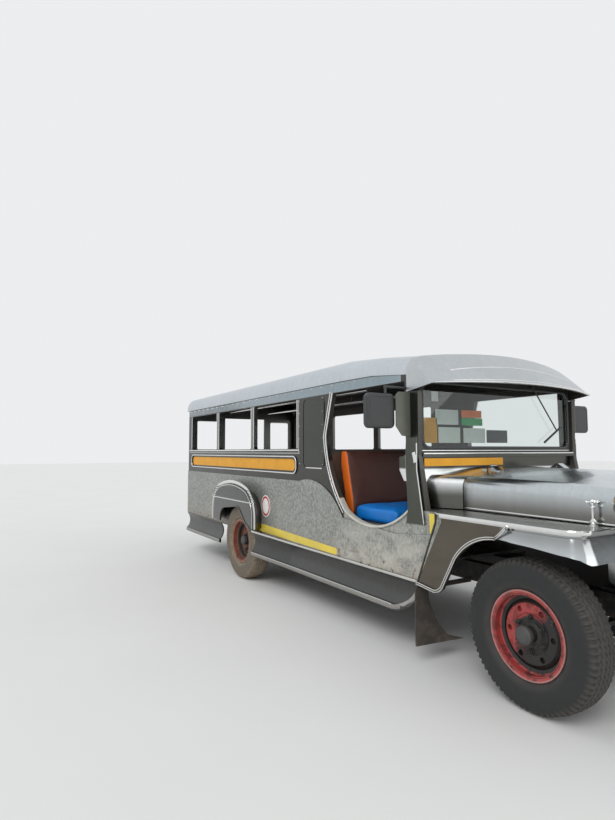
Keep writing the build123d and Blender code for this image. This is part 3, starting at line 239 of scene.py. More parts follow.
def sheetSteel(name):
    look = {**dict(zip(sheetColumns, sheetRows[name])), **sheetFaces.get(name, {})}
    steel = Finish("steel_" + name)
    # painted reflection: the lower colour below, the upper colour above, a smooth change between the heights
    height = steel.z.between(*look.get("reflectionHeights", (0.5, 1.15)))
    colour = steel.mix(height, look["low"], look["high"])
    broad = steel.noise(1.7, 4, 0.6, (0.6, 1, 1.6))      # soft patches, longer along the body
    reflectionStreaks = steel.noise(30, 3, 0.6, (1, 1, 0.1))       # painted reflection: streaks stretched up and down, lighter and darker
    spangle = steel.cells(70, (1, 1, 0.6))
    factor = 1 - look["patch"] / 2 + broad * look["patch"] + (spangle - 0.5) * look["spangle"]
    colour = steel.shade(colour, factor + (reflectionStreaks - 0.5) * 0.18)
    rough = look["rough"] + (broad - 0.5) * 0.12 + (spangle - 0.5) * look["spangle"] * 0.25
    metallic = 1 - (reflectionStreaks > 0.72) * 0.3
    if "panel" in look:
        # the raised lower panel is plain galvanised sheet with large spangle
        places = panelLook
        along = steel.x - frontAxle
        raised = (steel.y * steel.y > places["face"] ** 2) * (1 - (steel.z > places["top"]))
        underDoor = (steel.z < places["underDoor"]) * (along > places["doorRear"])
        panel = raised + underDoor - raised * underDoor
        flakes = steel.cells(125, (1, 1, 0.5)) - 0.5 + (steel.cells(60) - 0.5) * 0.4
        galvanised = steel.shade(look["panel"], 0.86 + flakes * 0.5 + (broad - 0.5) * 0.45)
        colour = steel.mix(panel, colour, galvanised)
        metallic = metallic - panel * 0.5
        rough = rough + panel * 0.16
        scuffed = (1 - steel.z.between(*places["scuffed"])) * along.between(*places["scuffEnd"])
        scuffed = scuffed * steel.noise(9, 5, 0.7).between(0.36, 0.58)
        colour = steel.mix(scuffed * 0.75, colour, places["scuffColour"])
        dust = 1 - steel.z.between(*places["dusty"])
        dust = dust * steel.noise(14, 5, 0.7, (1, 1, 0.4)).between(0.3, 0.75)
        colour = steel.mix(dust * 0.55, colour, places["dustColour"])
        rust = (1 - steel.z.between(*places["rusty"])) * steel.noise(22, 5, 0.75).between(0.54, 0.63)
        colour = steel.mix(rust, colour, places["rustColour"])
        metallic = metallic - scuffed * 0.5 - dust * 0.4 - rust * 0.8
        rough = rough + scuffed * 0.25 + dust * 0.25
    if "ledge" in look:
        colour = steel.mix(steel.z.between(*look["ledgeLevel"]), colour, look["ledge"])
    if "inside" in look:
        inner = steel.inward(look["level"])
        colour = steel.mix(inner, colour, steel.shade(look["inside"], 0.75 + broad * 0.5))
        metallic = metallic * (1 - inner * 0.85)
        rough = rough + inner * 0.2
    waves = steel.noise(2.6, 1, 0.4)
    return steel.surface(Base_Color=colour, Metallic=metallic, Roughness=rough,
                         Normal=steel.bump(waves + spangle * 0.004, look["waves"] * 4, 0.02))


def fenderSteel():
    # mirror-bright apron and flange, a smooth brown-grey foot behind the wheel
    steel = Finish("steel_fender")
    along = steel.x - frontAxle
    deck = steel.z > 0.93
    foot = (1 - along.between(-0.10, -0.06)) * (1 - deck)
    broad = steel.noise(3.2, 3, 0.55, (1, 1, 2.2))
    # painted reflection: the apron is light below 0.8 m and darker above 0.9 m
    bright = steel.mix(steel.z.between(0.8, 0.9), (0.62, 0.66, 0.67), (0.34, 0.35, 0.35))
    colour = steel.mix(foot, bright, (0.135, 0.12, 0.098))
    colour = steel.mix(deck, colour, (0.62, 0.63, 0.62))
    colour = steel.shade(colour, 0.72 + broad * 0.55)
    specks = steel.noise(120, 2, 0.6).between(0.66, 0.74)
    colour = steel.mix(specks * 0.5, colour, (0.12, 0.09, 0.06))
    rough = 0.13 + foot * 0.2 + deck * 0.1 + specks * 0.3
    waves = steel.noise(4, 1, 0.4, (1, 1, 1.6))
    return steel.surface(Metallic=1.0, Base_Color=colour, Roughness=rough,
                         Normal=steel.bump(waves, 0.5, 0.02))


paintLook = {    # colour, dust colour, share of dust, roughness
    "chassis": ((0.018, 0.018, 0.019), (0.16, 0.13, 0.1), 0.5, 0.6),
    "engine": ((0.07, 0.07, 0.072), (0.12, 0.09, 0.06), 0.5, 0.65),
    "exhaust": ((0.17, 0.12, 0.09), (0.09, 0.045, 0.025), 0.6, 0.7),
    "floor": ((0.12, 0.12, 0.12), (0.2, 0.17, 0.13), 0.5, 0.55),
    "partition": ((0.075, 0.05, 0.038), (0.12, 0.09, 0.06), 0.3, 0.5),
    "screenFrame": ((0.03, 0.028, 0.024), (0.08, 0.075, 0.06), 0.35, 0.4),
    "deflector": ((0.11, 0.115, 0.095), (0.16, 0.15, 0.12), 0.3, 0.35),
    "benchFrame": ((0.1, 0.1, 0.1), (0.16, 0.13, 0.1), 0.35, 0.5),
    "bumper": ((0.5, 0.5, 0.49), (0.3, 0.26, 0.2), 0.3, 0.25),
    "yellowStrip": ((0.78, 0.36, 0.012), (0.55, 0.26, 0.02), 0.3, 0.5),
    "lemonStrip": ((0.78, 0.6, 0.07), (0.6, 0.5, 0.25), 0.4, 0.45),
    "whiteBoard": ((0.8, 0.81, 0.78), (0.5, 0.48, 0.44), 0.3, 0.5),
    "blackBoard": ((0.02, 0.022, 0.024), (0.1, 0.1, 0.1), 0.3, 0.5),
    "greenBoard": ((0.02, 0.42, 0.13), (0.06, 0.3, 0.12), 0.2, 0.5),
    "orangeBoard": ((0.95, 0.2, 0.02), (0.7, 0.2, 0.05), 0.2, 0.5),
    "decalRed": ((0.5, 0.05, 0.06), (0.5, 0.2, 0.18), 0.4, 0.5),
    "beigeTrim": ((0.62, 0.6, 0.52), (0.3, 0.27, 0.22), 0.5, 0.5),
    "redLens": ((0.45, 0.015, 0.012), (0.3, 0.06, 0.04), 0.2, 0.2),
}


def paint(name):
    base, dustColour, share, rough = paintLook[name]
    coat = Finish("paint_" + name)
    dust = coat.noise(16, 5, 0.65).between(0.42, 0.78) * share
    chips = coat.noise(60, 3, 0.7).between(0.66, 0.72)
    colour = coat.mix(dust, coat.shade(base, 0.8 + coat.noise(5, 2) * 0.4), dustColour)
    colour = coat.mix(chips * 0.35, colour, coat.shade(base, 0.5))
    metallic = 0.9 if name == "bumper" else 0.0
    return coat.surface(Metallic=metallic, Base_Color=colour, Roughness=rough + dust * 0.25,
                        Normal=coat.bump(coat.noise(90, 3), 0.15, 0.002))


def vinylGrain(cover):
    # soft folds, and a bump that adds a fine grain to them
    grain = cover.node("ShaderNodeTexVoronoi", {}, {"Vector": cover.place, "Scale": 260.0}, "Distance")
    folds = cover.noise(6, 4, 0.6)
    return folds, cover.bump(grain * 0.3 + folds, 0.35, 0.004)


def vinyl(name, base, creaseColour):
    cover = Finish("vinyl_" + name)
    folds, bump = vinylGrain(cover)
    worn = folds.between(0.5, 0.75)
    colour = cover.mix(worn * 0.5, cover.shade(base, 0.75 + folds * 0.5), creaseColour)
    return cover.surface(Base_Color=colour, Roughness=0.42 + worn * 0.2, Normal=bump)


def seatBackVinyl():
    # brown front and burnt-orange ends
    cover = Finish("vinyl_seat_back")
    folds, bump = vinylGrain(cover)
    ends = cover.y * cover.y > 0.705 ** 2
    colour = cover.mix(ends, cover.shade((0.085, 0.032, 0.024), 0.7 + folds * 0.6),
                       cover.shade((0.7, 0.13, 0.008), 0.7 + folds * 0.6))
    return cover.surface(Base_Color=colour, Roughness=0.42 + folds * 0.2, Normal=bump)


def rubber(name, node, treadColour, wallColour, spread):
    # darker side wall, dust in the tread and towards the rim
    tyre = Finish("rubber_" + name)
    distance = tyre.radius(middleOf(node))
    dust = tyre.noise(26, 4, 0.65).between(0.3, 0.8)
    outer = distance.between(0.335, 0.372)
    rimside = 1 - distance.between(0.225, 0.275)
    share = (outer * 0.75 + rimside * 0.5 + spread) * (0.45 + dust * 0.75)
    colour = tyre.mix(share, wallColour, treadColour)
    return tyre.surface(Base_Color=colour, Roughness=0.72 + dust * 0.15,
                        Normal=tyre.bump(tyre.noise(160, 3), 0.25, 0.0015))


rimRings = {    # distances from the axle where each ring of paint starts or ends
    "discStart": (0.08, 0.095), "discEnd": (0.15, 0.156), "ring": (0.186, 0.19), "groove": (0.1995, 0.2025),
    "flange": (0.2128, 0.2152),
}


def wheelPaint(name, node, red, dark, bright):
    # rings of paint, rubbed through to rust and grease; the disc keeps its paint above and behind
    rim = Finish("rim_" + name)
    centre = middleOf(node)
    distance = rim.radius(centre)
    worn = rim.noise(17, 5, 0.7)
    spots = worn.between(0.47, 0.6)
    backwards, up = centre[0] - rim.x, rim.z - centre[2]
    rearHigh = up * 0.6 + backwards * 0.8 + (worn - 0.5) * 0.25
    disc = distance.between(*rimRings["discStart"]) * (1 - distance.between(*rimRings["discEnd"]))
    disc = disc * rearHigh.between(-0.02, 0.035)
    groove = (distance > rimRings["groove"][0]) * (distance < rimRings["groove"][1])
    rings = distance.between(*rimRings["ring"]) * (1 - groove)
    flange = distance.between(*rimRings["flange"])
    lowWorn = (1 - (up + worn * 0.06).between(-0.12, -0.05)) * 0.6
    paintShare = disc * 0.95 + rings * (1 - lowWorn * spots)
    colour = rim.mix(paintShare * (1 - spots * 0.5), dark, red)
    colour = rim.mix(flange * 0.5, colour, bright)
    return rim.surface(Base_Color=colour, Roughness=0.42 + spots * 0.25, Metallic=flange * 0.6,
                       Normal=rim.bump(worn, 0.3, 0.004))


def glass(name, tint, rough):
    pane = Finish("glass_" + name)
    smear = pane.noise(5, 4, 0.6, (1, 1, 0.5)).between(0.5, 0.8)
    return pane.surface(Transmission_Weight=1.0, IOR=1.45, Base_Color=tint, Roughness=rough + smear * 0.05)


def mirrorGlass():
    pane = Finish("mirror_glass")
    colour = pane.shade((0.75, 0.78, 0.8), 0.9 + pane.noise(9, 3) * 0.15)
    return pane.surface(Metallic=1.0, Base_Color=colour, Roughness=0.03)


def darkPlastic():
    plastic = Finish("plastic_dark")
    fade = plastic.noise(7, 3).between(0.4, 0.8)
    colour = plastic.mix(fade * 0.5, (0.035, 0.037, 0.038), (0.085, 0.085, 0.08))
    return plastic.surface(Base_Color=colour, Roughness=0.42 + fade * 0.2,
                           Normal=plastic.bump(plastic.noise(140, 3), 0.15, 0.001))


def flapRubber():
    flap = Finish("rubber_flap")
    mud = flap.noise(11, 5, 0.7).between(0.35, 0.75)
    low = 1 - flap.z.between(0.1, 0.45)
    colour = flap.mix(mud * (0.35 + low * 0.5), (0.05, 0.043, 0.036), (0.16, 0.13, 0.1))
    return flap.surface(Base_Color=colour, Roughness=0.75 + mud * 0.15, Normal=flap.bump(mud, 0.3, 0.004))


steels = {name: sheetSteel(name) for name in sheetRows}
paints = {name: paint(name) for name in paintLook}
plasticDark, rubberFlap = darkPlastic(), flapRubber()
nodeFinishes = [    # finish, the nodes that wear it
    (paints["chassis"], ("chassis_rails", "crossmembers", "front_axle", "rear_axle", "steering_knuckle_left",
                         "steering_knuckle_right", "leaf_springs", "propeller_shaft", "fuel_tank")),
    (paints["engine"], ("engine_block",)),
    (paints["exhaust"], ("exhaust",)),
    (paints["floor"], ("body_floor", "rear_step")),
    (paints["screenFrame"], ("windscreen_frame",)),
    (paints["bumper"], ("front_bumper",)),
    (paints["redLens"], ("tail_lamps",)),
    (paints["partition"], ("cab_partition",)),
    (paints["benchFrame"], ("bench_frames",)),
    (paints["deflector"], ("wind_deflectors",)),
    (steels["wall"], ("body_side_left", "body_side_right", "rear_panel")),
    (steels["roof"], ("roof",)),
    (steels["visor"], ("roof_visor",)),
    (steels["cowl"], ("cowl",)),
    (steels["hood"], ("hood",)),
    (steels["grille"], ("grille",)),
    (steels["arch"], ("rear_arches",)),
    (steels["skirt"], ("side_skirts",)),
    (steels["trim"], ("headlamps", "ceiling_rails")),
    (fenderSteel(), ("front_fenders",)),
    (glass("screen", (0.8, 0.86, 0.84), 0.01), ("windscreen_glass",)),
    (glass("lens", (0.93, 0.94, 0.92), 0.06), ("headlamp_lenses",)),
    (plasticDark, ("steering_column", "steering_wheel", "side_mirrors", "wiper")),
    (rubberFlap, ("mud_flaps",)),
]
rimColours = {    # paint, worn metal, bright edge
    "front": ((0.4, 0.055, 0.05), (0.02, 0.018, 0.017), (0.6, 0.4, 0.37)),
    "rear": ((0.26, 0.085, 0.05), (0.045, 0.035, 0.028), (0.42, 0.3, 0.24)),
}
for corner in corners:
    wheel = "wheel_" + corner
    nodeFinishes.append((wheelPaint(corner, wheel, *rimColours[corner.split("_")[0]]), (wheel,)))
for finish, nodes in nodeFinishes:
    for node in nodes:
        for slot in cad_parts[node].material_slots:
            slot.material = finish

# finish and slot of the pieces that are added
pieceLooks = {name: (steels[name], "stainless") for name in ("lip", "fascia", "pillar", "pressing", "skirt")}
for name in ("yellowStrip", "lemonStrip", "whiteBoard", "blackBoard", "greenBoard", "orangeBoard",
             "decalRed"):
    pieceLooks[name] = (paints[name], "inner_panel")
pieceLooks.update({
    "trim": (steels["trim"], "chrome"), "beigeTrim": (paints["beigeTrim"], "chrome"),
    "chassis": (paints["chassis"], "chassis_paint"), "hubCap": (paints["engine"], "engine_iron"),
    "horn": (paints["engine"], "black_plastic"), "plastic": (plasticDark, "black_plastic"),
    "seal": (rubberFlap, "black_plastic"), "mirror": (mirrorGlass(), "window_glass"),
})
print("finishes made")


# shapes: each one returns points and faces
def join(shapes):
    points, faces, count = [], [], 0
    for shapePoints, shapeFaces in shapes:
        points.append(shapePoints)
        faces += [[index + count for index in face] for face in shapeFaces]
        count += len(shapePoints)
    return np.vstack(points), faces


def tube(rings, loop=False):
    # rings of points joined into a tube; ends closed by one face each, or joined in a loop
    rows, columns = rings.shape[:2]
    row = np.arange(rows if loop else rows - 1)[:, None]
    column = np.arange(columns)[None, :]
    nextRow, nextColumn = (row + 1) % rows, (column + 1) % columns
    square = [row * columns + column, row * columns + nextColumn, nextRow * columns + nextColumn,
              nextRow * columns + column]
    faces = np.stack(square, axis=-1).reshape(-1, 4).tolist()
    if not loop:
        faces += [list(range(columns)), list(range((rows - 1) * columns, rows * columns))]
    return rings.reshape(-1, 3), faces


def roundSection(width, height, count=10):
    # an ellipse
    angle = np.arange(count) * 2 * pi / count
    return np.stack([np.cos(angle) * width / 2, np.sin(angle) * height / 2], axis=1)


def boxSection(width, height, corner=0.002, steps=3):
    # a rectangle with round corners: corner centre + radius * (cos, sin)
    corner = min(corner, width / 2.01, height / 2.01)
    angle = np.concatenate([np.linspace(0, pi / 2, steps) + quarter * pi / 2 for quarter in range(4)])
    side = np.repeat(np.array([[1, 1], [-1, 1], [-1, -1], [1, -1]]), steps, axis=0)
    middle = side * np.array([width / 2 - corner, height / 2 - corner])
    return middle + corner * np.stack([np.cos(angle), np.sin(angle)], axis=1)


def sweep(path, section, outward, loop=False):
    # ring = path point + across * side + out * up, with side = tangent x outward and up = side x tangent
    path = np.asarray(path, float)
    tangent = np.roll(path, -1, 0) - np.roll(path, 1, 0) if loop else np.gradient(path, axis=0)
    tangent /= np.linalg.norm(tangent, axis=1, keepdims=True)
    side = np.cross(tangent, np.broadcast_to(np.asarray(outward, float), path.shape))
    side /= np.linalg.norm(side, axis=1, keepdims=True)
    up = np.cross(side, tangent)
    rings = path[:, None] + side[:, None] * section[None, :, :1] + up[:, None] * section[None, :, 1:]
    return tube(rings, loop)


def lathe(profile, centre, axis, steps=40):
    # a profile of (radius, height) turned round an axis: centre + axis * height + radial * radius
    axis = np.asarray(axis, float) / np.linalg.norm(axis)
    first = np.cross(axis, [0, 0, 1] if abs(axis[2]) < 0.9 else [1, 0, 0])
    first /= np.linalg.norm(first)
    second = np.cross(axis, first)
    angle = np.arange(steps) * 2 * pi / steps
    radial = np.cos(angle)[:, None] * first + np.sin(angle)[:, None] * second
    radius, height = np.asarray(profile, float).T[:, :, None, None]
    return tube(np.asarray(centre, float) + height * axis + radius * radial[None])


def plate(outlinePoints, origin, across, up, depth, bevel=0.0008):
    # a flat outline with thickness: its rings at depth 0 and depth, the last one drawn in by the bevel
    outlinePoints = np.asarray(outlinePoints, float)
    across, up, origin = np.asarray(across, float), np.asarray(up, float), np.asarray(origin, float)
    out = np.cross(across, up)
    centre = outlinePoints.mean(axis=0)
    size = np.linalg.norm(outlinePoints - centre, axis=1).mean()
    rings = []
    for level, inset in ((0, 0), (depth - bevel, 0), (depth, bevel)):
        ring = centre + (outlinePoints - centre) * (1 - inset / size)
        rings.append(origin + ring[:, :1] * across + ring[:, 1:] * up + out * level)
    return tube(np.array(rings))


def arcThrough(start, middle, end, count=16):
    # the circle through three points, walked from the first to the last
    a, b, c = np.array([start, middle, end], float)
    centre = np.linalg.solve(2 * np.array([b - a, c - a]), [b @ b - a @ a, c @ c - a @ a])
    arms = np.array([a, b, c]) - centre
    angles = np.unwrap(np.arctan2(arms[:, 1], arms[:, 0]))
    angle = np.linspace(angles[0], angles[2], count)
    return centre + np.linalg.norm(arms[0]) * np.stack([np.cos(angle), np.sin(angle)], axis=1)


def roundedPath(points, radii, steps=10, loop=False):
    # a line of straight runs whose corners are arcs of the given radii
    points = [np.asarray(point, float) for point in points]
    path = [] if loop else [points[0]]
    for index in range(len(points)) if loop else range(1, len(points) - 1):
        before, here, after = points[index - 1], points[index], points[(index + 1) % len(points)]
        radius = radii if isinstance(radii, (int, float)) else radii[index]
        back = (before - here) / np.linalg.norm(before - here)
        ahead = (after - here) / np.linalg.norm(after - here)
        half = np.arccos(np.clip(back @ ahead, -1, 1)) / 2
        run = radius / np.tan(half)
        share = np.linspace(0, 1, steps)[:, None]
        centre = here + (back + ahead) / np.linalg.norm(back + ahead) * radius / np.sin(half)
        arm = (here + back * run) * (1 - share) + (here + ahead * run) * share - centre
        path.append(centre + arm / np.linalg.norm(arm, axis=1, keepdims=True) * radius)
    if not loop:
        path.append(points[-1])
    return np.vstack(path)


def rectangle(left, right, bottom, top, radius, steps):
    # a closed outline with round corners
    return roundedPath([(left, bottom), (left, top), (right, top), (right, bottom)], radius, steps, True)


def offsetPath(path, distance):
    # each point moved sideways, at a right angle to the path
    tangent = np.gradient(path, axis=0)
    tangent /= np.linalg.norm(tangent, axis=1, keepdims=True)
    return path + np.stack([-tangent[:, 1], tangent[:, 0]], axis=1) * distance


def studs(places, outward, radius, height, sides=8):
    # small domes: rings of shrinking radius and a flat top
    dome = [(radius, -0.0005), (radius * 0.85, height * 0.6), (radius * 0.45, height)]
    return join([lathe(dome, place, outward, sides) for place in places])


def makePiece(name, shape, finish, slot, body="body", sharp=35):
    points, faces = shape
    mesh = bpy.data.meshes.new(name)
    mesh.from_pydata(np.asarray(points).tolist(), [], faces)
    work = bmesh.new()
    work.from_mesh(mesh)
    bmesh.ops.remove_doubles(work, verts=work.verts, dist=1e-6)
    bmesh.ops.recalc_face_normals(work, faces=work.faces)
    work.to_mesh(mesh)
    work.free()
    mesh.shade_smooth()
    mesh.set_sharp_from_angle(angle=radians(sharp))
    mesh.materials.append(finish)
    piece = bpy.data.objects.new(name, mesh)
    bpy.context.collection.objects.link(piece)
    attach(piece, body)
    return piece


def addPiece(name, shape, look, body="body"):
    return makePiece(name, shape, *pieceLooks[look], body)


def onSide(path, side, out, fromX=frontAxle):
    # a path in X and Z, put on a plane beside the body
    path = np.asarray(path, float)
    return np.stack([path[:, 0] + fromX, np.full(len(path), side * out), path[:, 1]], axis=1)


def onFront(path, x):
    # a path in Y and Z, put on a plane across the body
    return np.stack([np.full(len(path), x), path[:, 0], path[:, 1]], axis=1)


def sideBead(path, side, out, section, loop=False, fromX=frontAxle):
    return sweep(onSide(path, side, out, fromX), section, (0, side, 0), loop)


# tyres
tyreLook = {
    "steps": 432, "lugs": 72, "lugDepth": 0.009, "lugShare": 0.42, "lugFrom": 0.062, "treadFrom": 0.3515,
    "ribs": (-0.045, -0.015, 0.015, 0.045), "ribHalfWidth": 0.0036, "ribDepth": 0.008, "zigzag": 0.0045,
    "zigzags": 72, "ridges": (0.262, 0.335), "ridgeHeight": 0.002, "ridgeWidth": 0.003,
    # radius and half width, from the bead over the side wall to the middle of the tread
    "outer": [(0.2055, 0.069), (0.224, 0.0705), (0.236, 0.087), (0.252, 0.0945), (0.275, 0.0985),
              (0.297, 0.1), (0.318, 0.0985), (0.338, 0.096), (0.352, 0.0935), (0.361, 0.0885),
              (0.3685, 0.0805), (0.3725, 0.07), (0.3765, 0.054), (0.379, 0.034), (0.38, 0.0)],
    "shoulder": 8,    # the row of the outer line where the tread's finer steps start
    # radius and width round the inside
    "inner": [(0.2055, -0.055), (0.24, -0.074), (0.30, -0.086), (0.355, -0.07), (0.364, 0), (0.355, 0.07),
              (0.30, 0.086), (0.24, 0.074), (0.2055, 0.055)],
}


def tyreShape(node, depthShare):
    # the section turned round the axle, its tread cut inwards
    # side wall ridges: height * exp(-((radius - place) / width)^2)
    look = tyreLook
    outer = np.array(look["outer"])
    reach = np.concatenate([[0], np.cumsum(np.linalg.norm(np.diff(outer, axis=0), axis=1))])
    shoulder = reach[look["shoulder"]]
    place = np.concatenate([np.linspace(0, shoulder, 15, endpoint=False),
                            np.linspace(shoulder, reach[-1], 27)])
    half = np.stack([np.interp(place, reach, column) for column in outer.T], axis=1)
    whole = np.vstack([half, half[-2::-1] * [1, -1]])
    section = np.vstack([whole, look["inner"]])
    turn = np.arange(look["steps"])[:, None] * 2 * pi / look["steps"]
    radius, width = [np.repeat(column[None], look["steps"], axis=0) for column in section.T]
    outerSide = (np.arange(len(section)) < len(whole))[None, :]
    tread = outerSide & (radius > look["treadFrom"])
    wave = look["zigzag"] * (2 * np.abs((turn * look["zigzags"] / 2 / pi) % 1 - 0.5) * 2 - 1)
    cut = np.zeros_like(radius)
    for rib in look["ribs"]:
        cut = np.maximum(cut, (np.abs(width - rib - wave) < look["ribHalfWidth"]) * look["ribDepth"])
    lug = ((turn * look["lugs"] / 2 / pi) % 1 < look["lugShare"]) & (np.abs(width) > look["lugFrom"])
    cut = np.maximum(cut, lug * look["lugDepth"]) * depthShare
    ridge = sum(np.exp(-((radius - level) / look["ridgeWidth"]) ** 2) for level in look["ridges"])
    radius = radius - cut * tread
    width = width + np.sign(width) * look["ridgeHeight"] * ridge * outerSide
    centre = middleOf(node)
    rings = [centre[0] + radius * np.cos(turn), centre[1] + width, centre[2] + radius * np.sin(turn)]
    return tube(np.stack(rings, axis=2), loop=True)


tyreWear = {    # tread colour, wall colour, share of the tread's depth, dust all over
    "front": ((0.085, 0.078, 0.07), (0.02, 0.021, 0.022), 1.0, 0.06),
    "rear": ((0.3, 0.24, 0.17), (0.1, 0.085, 0.068), 0.7, 0.35),
}
for corner in corners:
    node = "tyre_" + corner
    tread, wall, depth, spread = tyreWear[corner.split("_")[0]]
    finish = rubber(corner, node, tread, wall, spread)
    piece = makePiece("treaded_tyre_" + corner, tyreShape(node, depth), finish, "tyre", "wheel_" + corner, 28)
    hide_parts(node)

# wheel nuts, hub caps and valves
wheelLook = {"nutCircle": 0.085, "nutCount": 6, "nutRadius": 0.0125, "valve": (0.15, 0.09),
             "discOut": {"front": 0.034, "rear": -0.018}, "hubOut": {"front": 0.110, "rear": 0.062}}


def wheelFittings(corner):
    end, sideName = corner.split("_")
    side = dict(sides)[sideName]
    axle = (0, side, 0)
    centre = np.array(middleOf("tyre_" + corner))
    disc, hub = wheelLook["discOut"][end], wheelLook["hubOut"][end]
    r, circle = wheelLook["nutRadius"], wheelLook["nutCircle"]
    nut = [(r * 1.25, -0.001), (r * 1.25, 0.003), (r, 0.004), (r, 0.016), (r * 0.8, 0.018)]
    bolt = [(r * 0.5, 0.016), (r * 0.5, 0.026), (r * 0.35, 0.028)]
    valve = [(0.004, -0.02), (0.004, 0.03), (0.0055, 0.031), (0.0055, 0.04), (0.003, 0.042)]
    cap = [(0.047, hub - 0.03), (0.047, hub - 0.01), (0.044, hub - 0.006), (0.036, hub - 0.002),
           (0.034, hub + 0.001), (0.024, hub + 0.004), (0.012, hub + 0.006), (0.004, hub + 0.0065)]
    shapes = []
    for number in range(wheelLook["nutCount"]):
        angle = (number + 0.5) * 2 * pi / wheelLook["nutCount"]
        spot = centre + [circle * cos(angle), side * disc, circle * sin(angle)]
        shapes += [lathe(nut, spot, axle, 6), lathe(bolt, spot, axle, 10)]
    spot = centre + [wheelLook["valve"][0], side * (disc + 0.004), wheelLook["valve"][1]]
    shapes.append(lathe(valve, spot, axle, 12))
    addPiece("wheel_nuts_" + corner, join(shapes), "chassis", "wheel_" + corner)
    addPiece("hub_cap_" + corner, lathe(cap, centre, axle), "hubCap", "wheel_" + corner)


for corner in corners:
    wheelFittings(corner)
print("wheels made")

# trims on the walls; X is given from the front axle, and out from the wall's face
bandFront, bandRear = -2.36, -5.21
doorSill = np.vstack([[(-0.890, 1.283)], arcThrough((-0.868, 0.930), (-1.200, 0.786), (-1.600, 0.860), 24)])
doorRear = np.vstack([arcThrough((-1.600, 0.860), (-1.775, 1.100), (-1.868, 1.430), 18)[:-1],
                      arcThrough((-1.868, 1.430), (-1.812, 1.620), (-1.765, 1.776), 10)])
windowFronts = (-2.36, -3.34, -4.32)
windowPosts = [    # from the window's front edge, foot, out, section
    (0.016, 1.335, 0.003, boxSection(0.014, 0.008)),
    (-0.906, 1.335, 0.003, boxSection(0.014, 0.008)),
    (0.042, 1.30, 0.002, boxSection(0.006, 0.006)),
]
wallBeads = [([(front + shift, foot), (front + shift, 1.5), (front + shift, 1.766)], out, section, False)
             for front in windowFronts for shift, foot, out, section in windowPosts]
wallBeads += [    # path, out, section, closed
    ([(-5.30, 1.318), (-3.6, 1.318), (-2.30, 1.318)], 0.006, roundSection(0.015, 0.015), False),
    ([(-5.30, 1.292), (-3.6, 1.292), (-2.30, 1.292)], 0.001, boxSection(0.006, 0.005), False),
    (rectangle(bandRear, bandFront, 1.112, 1.262, 0.055, 8), 0.0095, roundSection(0.012, 0.007), True),
    ([(-2.195, 1.168), (-1.936, 1.168)], 0.001, roundSection(0.01, 0.006), False),
    (doorRear, 0.009, roundSection(0.013, 0.010), False),
    (offsetPath(doorRear, 0.036), 0.003, roundSection(0.012, 0.008), False),
]
wallLines = [    # name, path, out, section, look
    ("door_welt", offsetPath(np.vstack([doorSill, doorRear[1:4]]), 0.004), -0.015,
     boxSection(0.018, 0.05, 0.007, 4), "beigeTrim"),
    # painted shadow: a dark strip along the top of the wall stands for the shadow under the roof's lip
    ("roof_lip_shadow", [(-5.355, 1.857), (-3.2, 1.857), (-1.25, 1.857)], 0.001, boxSection(0.009, 0.005), "seal"),
    ("pillar_edge", [(-0.7745, 1.36), (-0.7765, 1.19), (-0.7175, 0.852)], 0.012,
     roundSection(0.009, 0.007), "trim"),
    ("pillar_clamp", [(-0.80, 1.30), (-0.79, 1.27), (-0.782, 1.235)], 0.016,
     roundSection(0.03, 0.014), "trim"),
]
wallPlates = [    # name, outline, out, thickness, bevel, look
    ("name_band_blank", rectangle(bandRear + 0.03, bandFront - 0.045, 1.134, 1.24, 0.035, 6),
     -0.0065, 0.003, 0.0008, "yellowStrip"),
    ("pillar_panel", rectangle(-2.228, -1.903, 1.185, 1.738, 0.035, 6), -0.001, 0.003, 0.0008, "pressing"),
    ("fascia_strip", [(-5.355, 1.775), (-5.355, 1.850), (-1.70, 1.850), (-1.25, 1.845), (-0.93, 1.818),
                      (-0.93, 1.775)], -0.001, 0.0025, 0.0008, "fascia"),
    ("sill_strip_blank", roundedPath([(-3.215, 0.522), (-3.215, 0.600), (-1.712, 0.556), (-1.712, 0.5035)],
                                     0.02, 6, True), 0.0065, 0.002, 0.0008, "lemonStrip"),
    ("pillar_cover", [(-0.886, 0.843), (-0.868, 0.925), (-0.886, 1.283), (-0.875, 1.40), (-0.775, 1.40),
                      (-0.776, 1.19), (-0.717, 0.848)], -0.001, 0.013, 0.002, "pillar"),
]
rivetLook = {"rowLevel": 1.838, "rowPlaces": np.arange(-5.3, -1.3, 0.16), "radius": 0.005, "height": 0.0025,
             "postPlaces": (-2.31, -1.928), "postLevels": np.arange(1.20, 1.76, 0.11)}


def sideTrims(name, side):
    beads = [sideBead(path, side, wallFace + out, section, loop) for path, out, section, loop in wallBeads]
    addPiece("bright_beads_" + name, join(beads), "trim")
    for label, path, out, section, look in wallLines:
        addPiece(label + "_" + name, sideBead(path, side, wallFace + out, section), look)
    for label, outline, out, depth, bevel, look in wallPlates:
        # across is turned with the side, so that across x up points away from the body
        shape = plate(np.array(outline) * [-side, 1], (frontAxle, side * (wallFace + out), 0), (-side, 0, 0),
                      (0, 0, 1), depth, bevel)
        addPiece(label + "_" + name, shape, look)
    rivets = [(x, wallFace + 0.002, rivetLook["rowLevel"]) for x in rivetLook["rowPlaces"]]
    rivets += [(x, wallFace, z) for x in rivetLook["postPlaces"] for z in rivetLook["postLevels"]]
    rivets = np.array(rivets) * [1, side, 1] + [frontAxle, 0, 0]
    shape = studs(rivets, (0, side, 0), rivetLook["radius"], rivetLook["height"])
    addPiece("wall_rivets_" + name, shape, "trim")


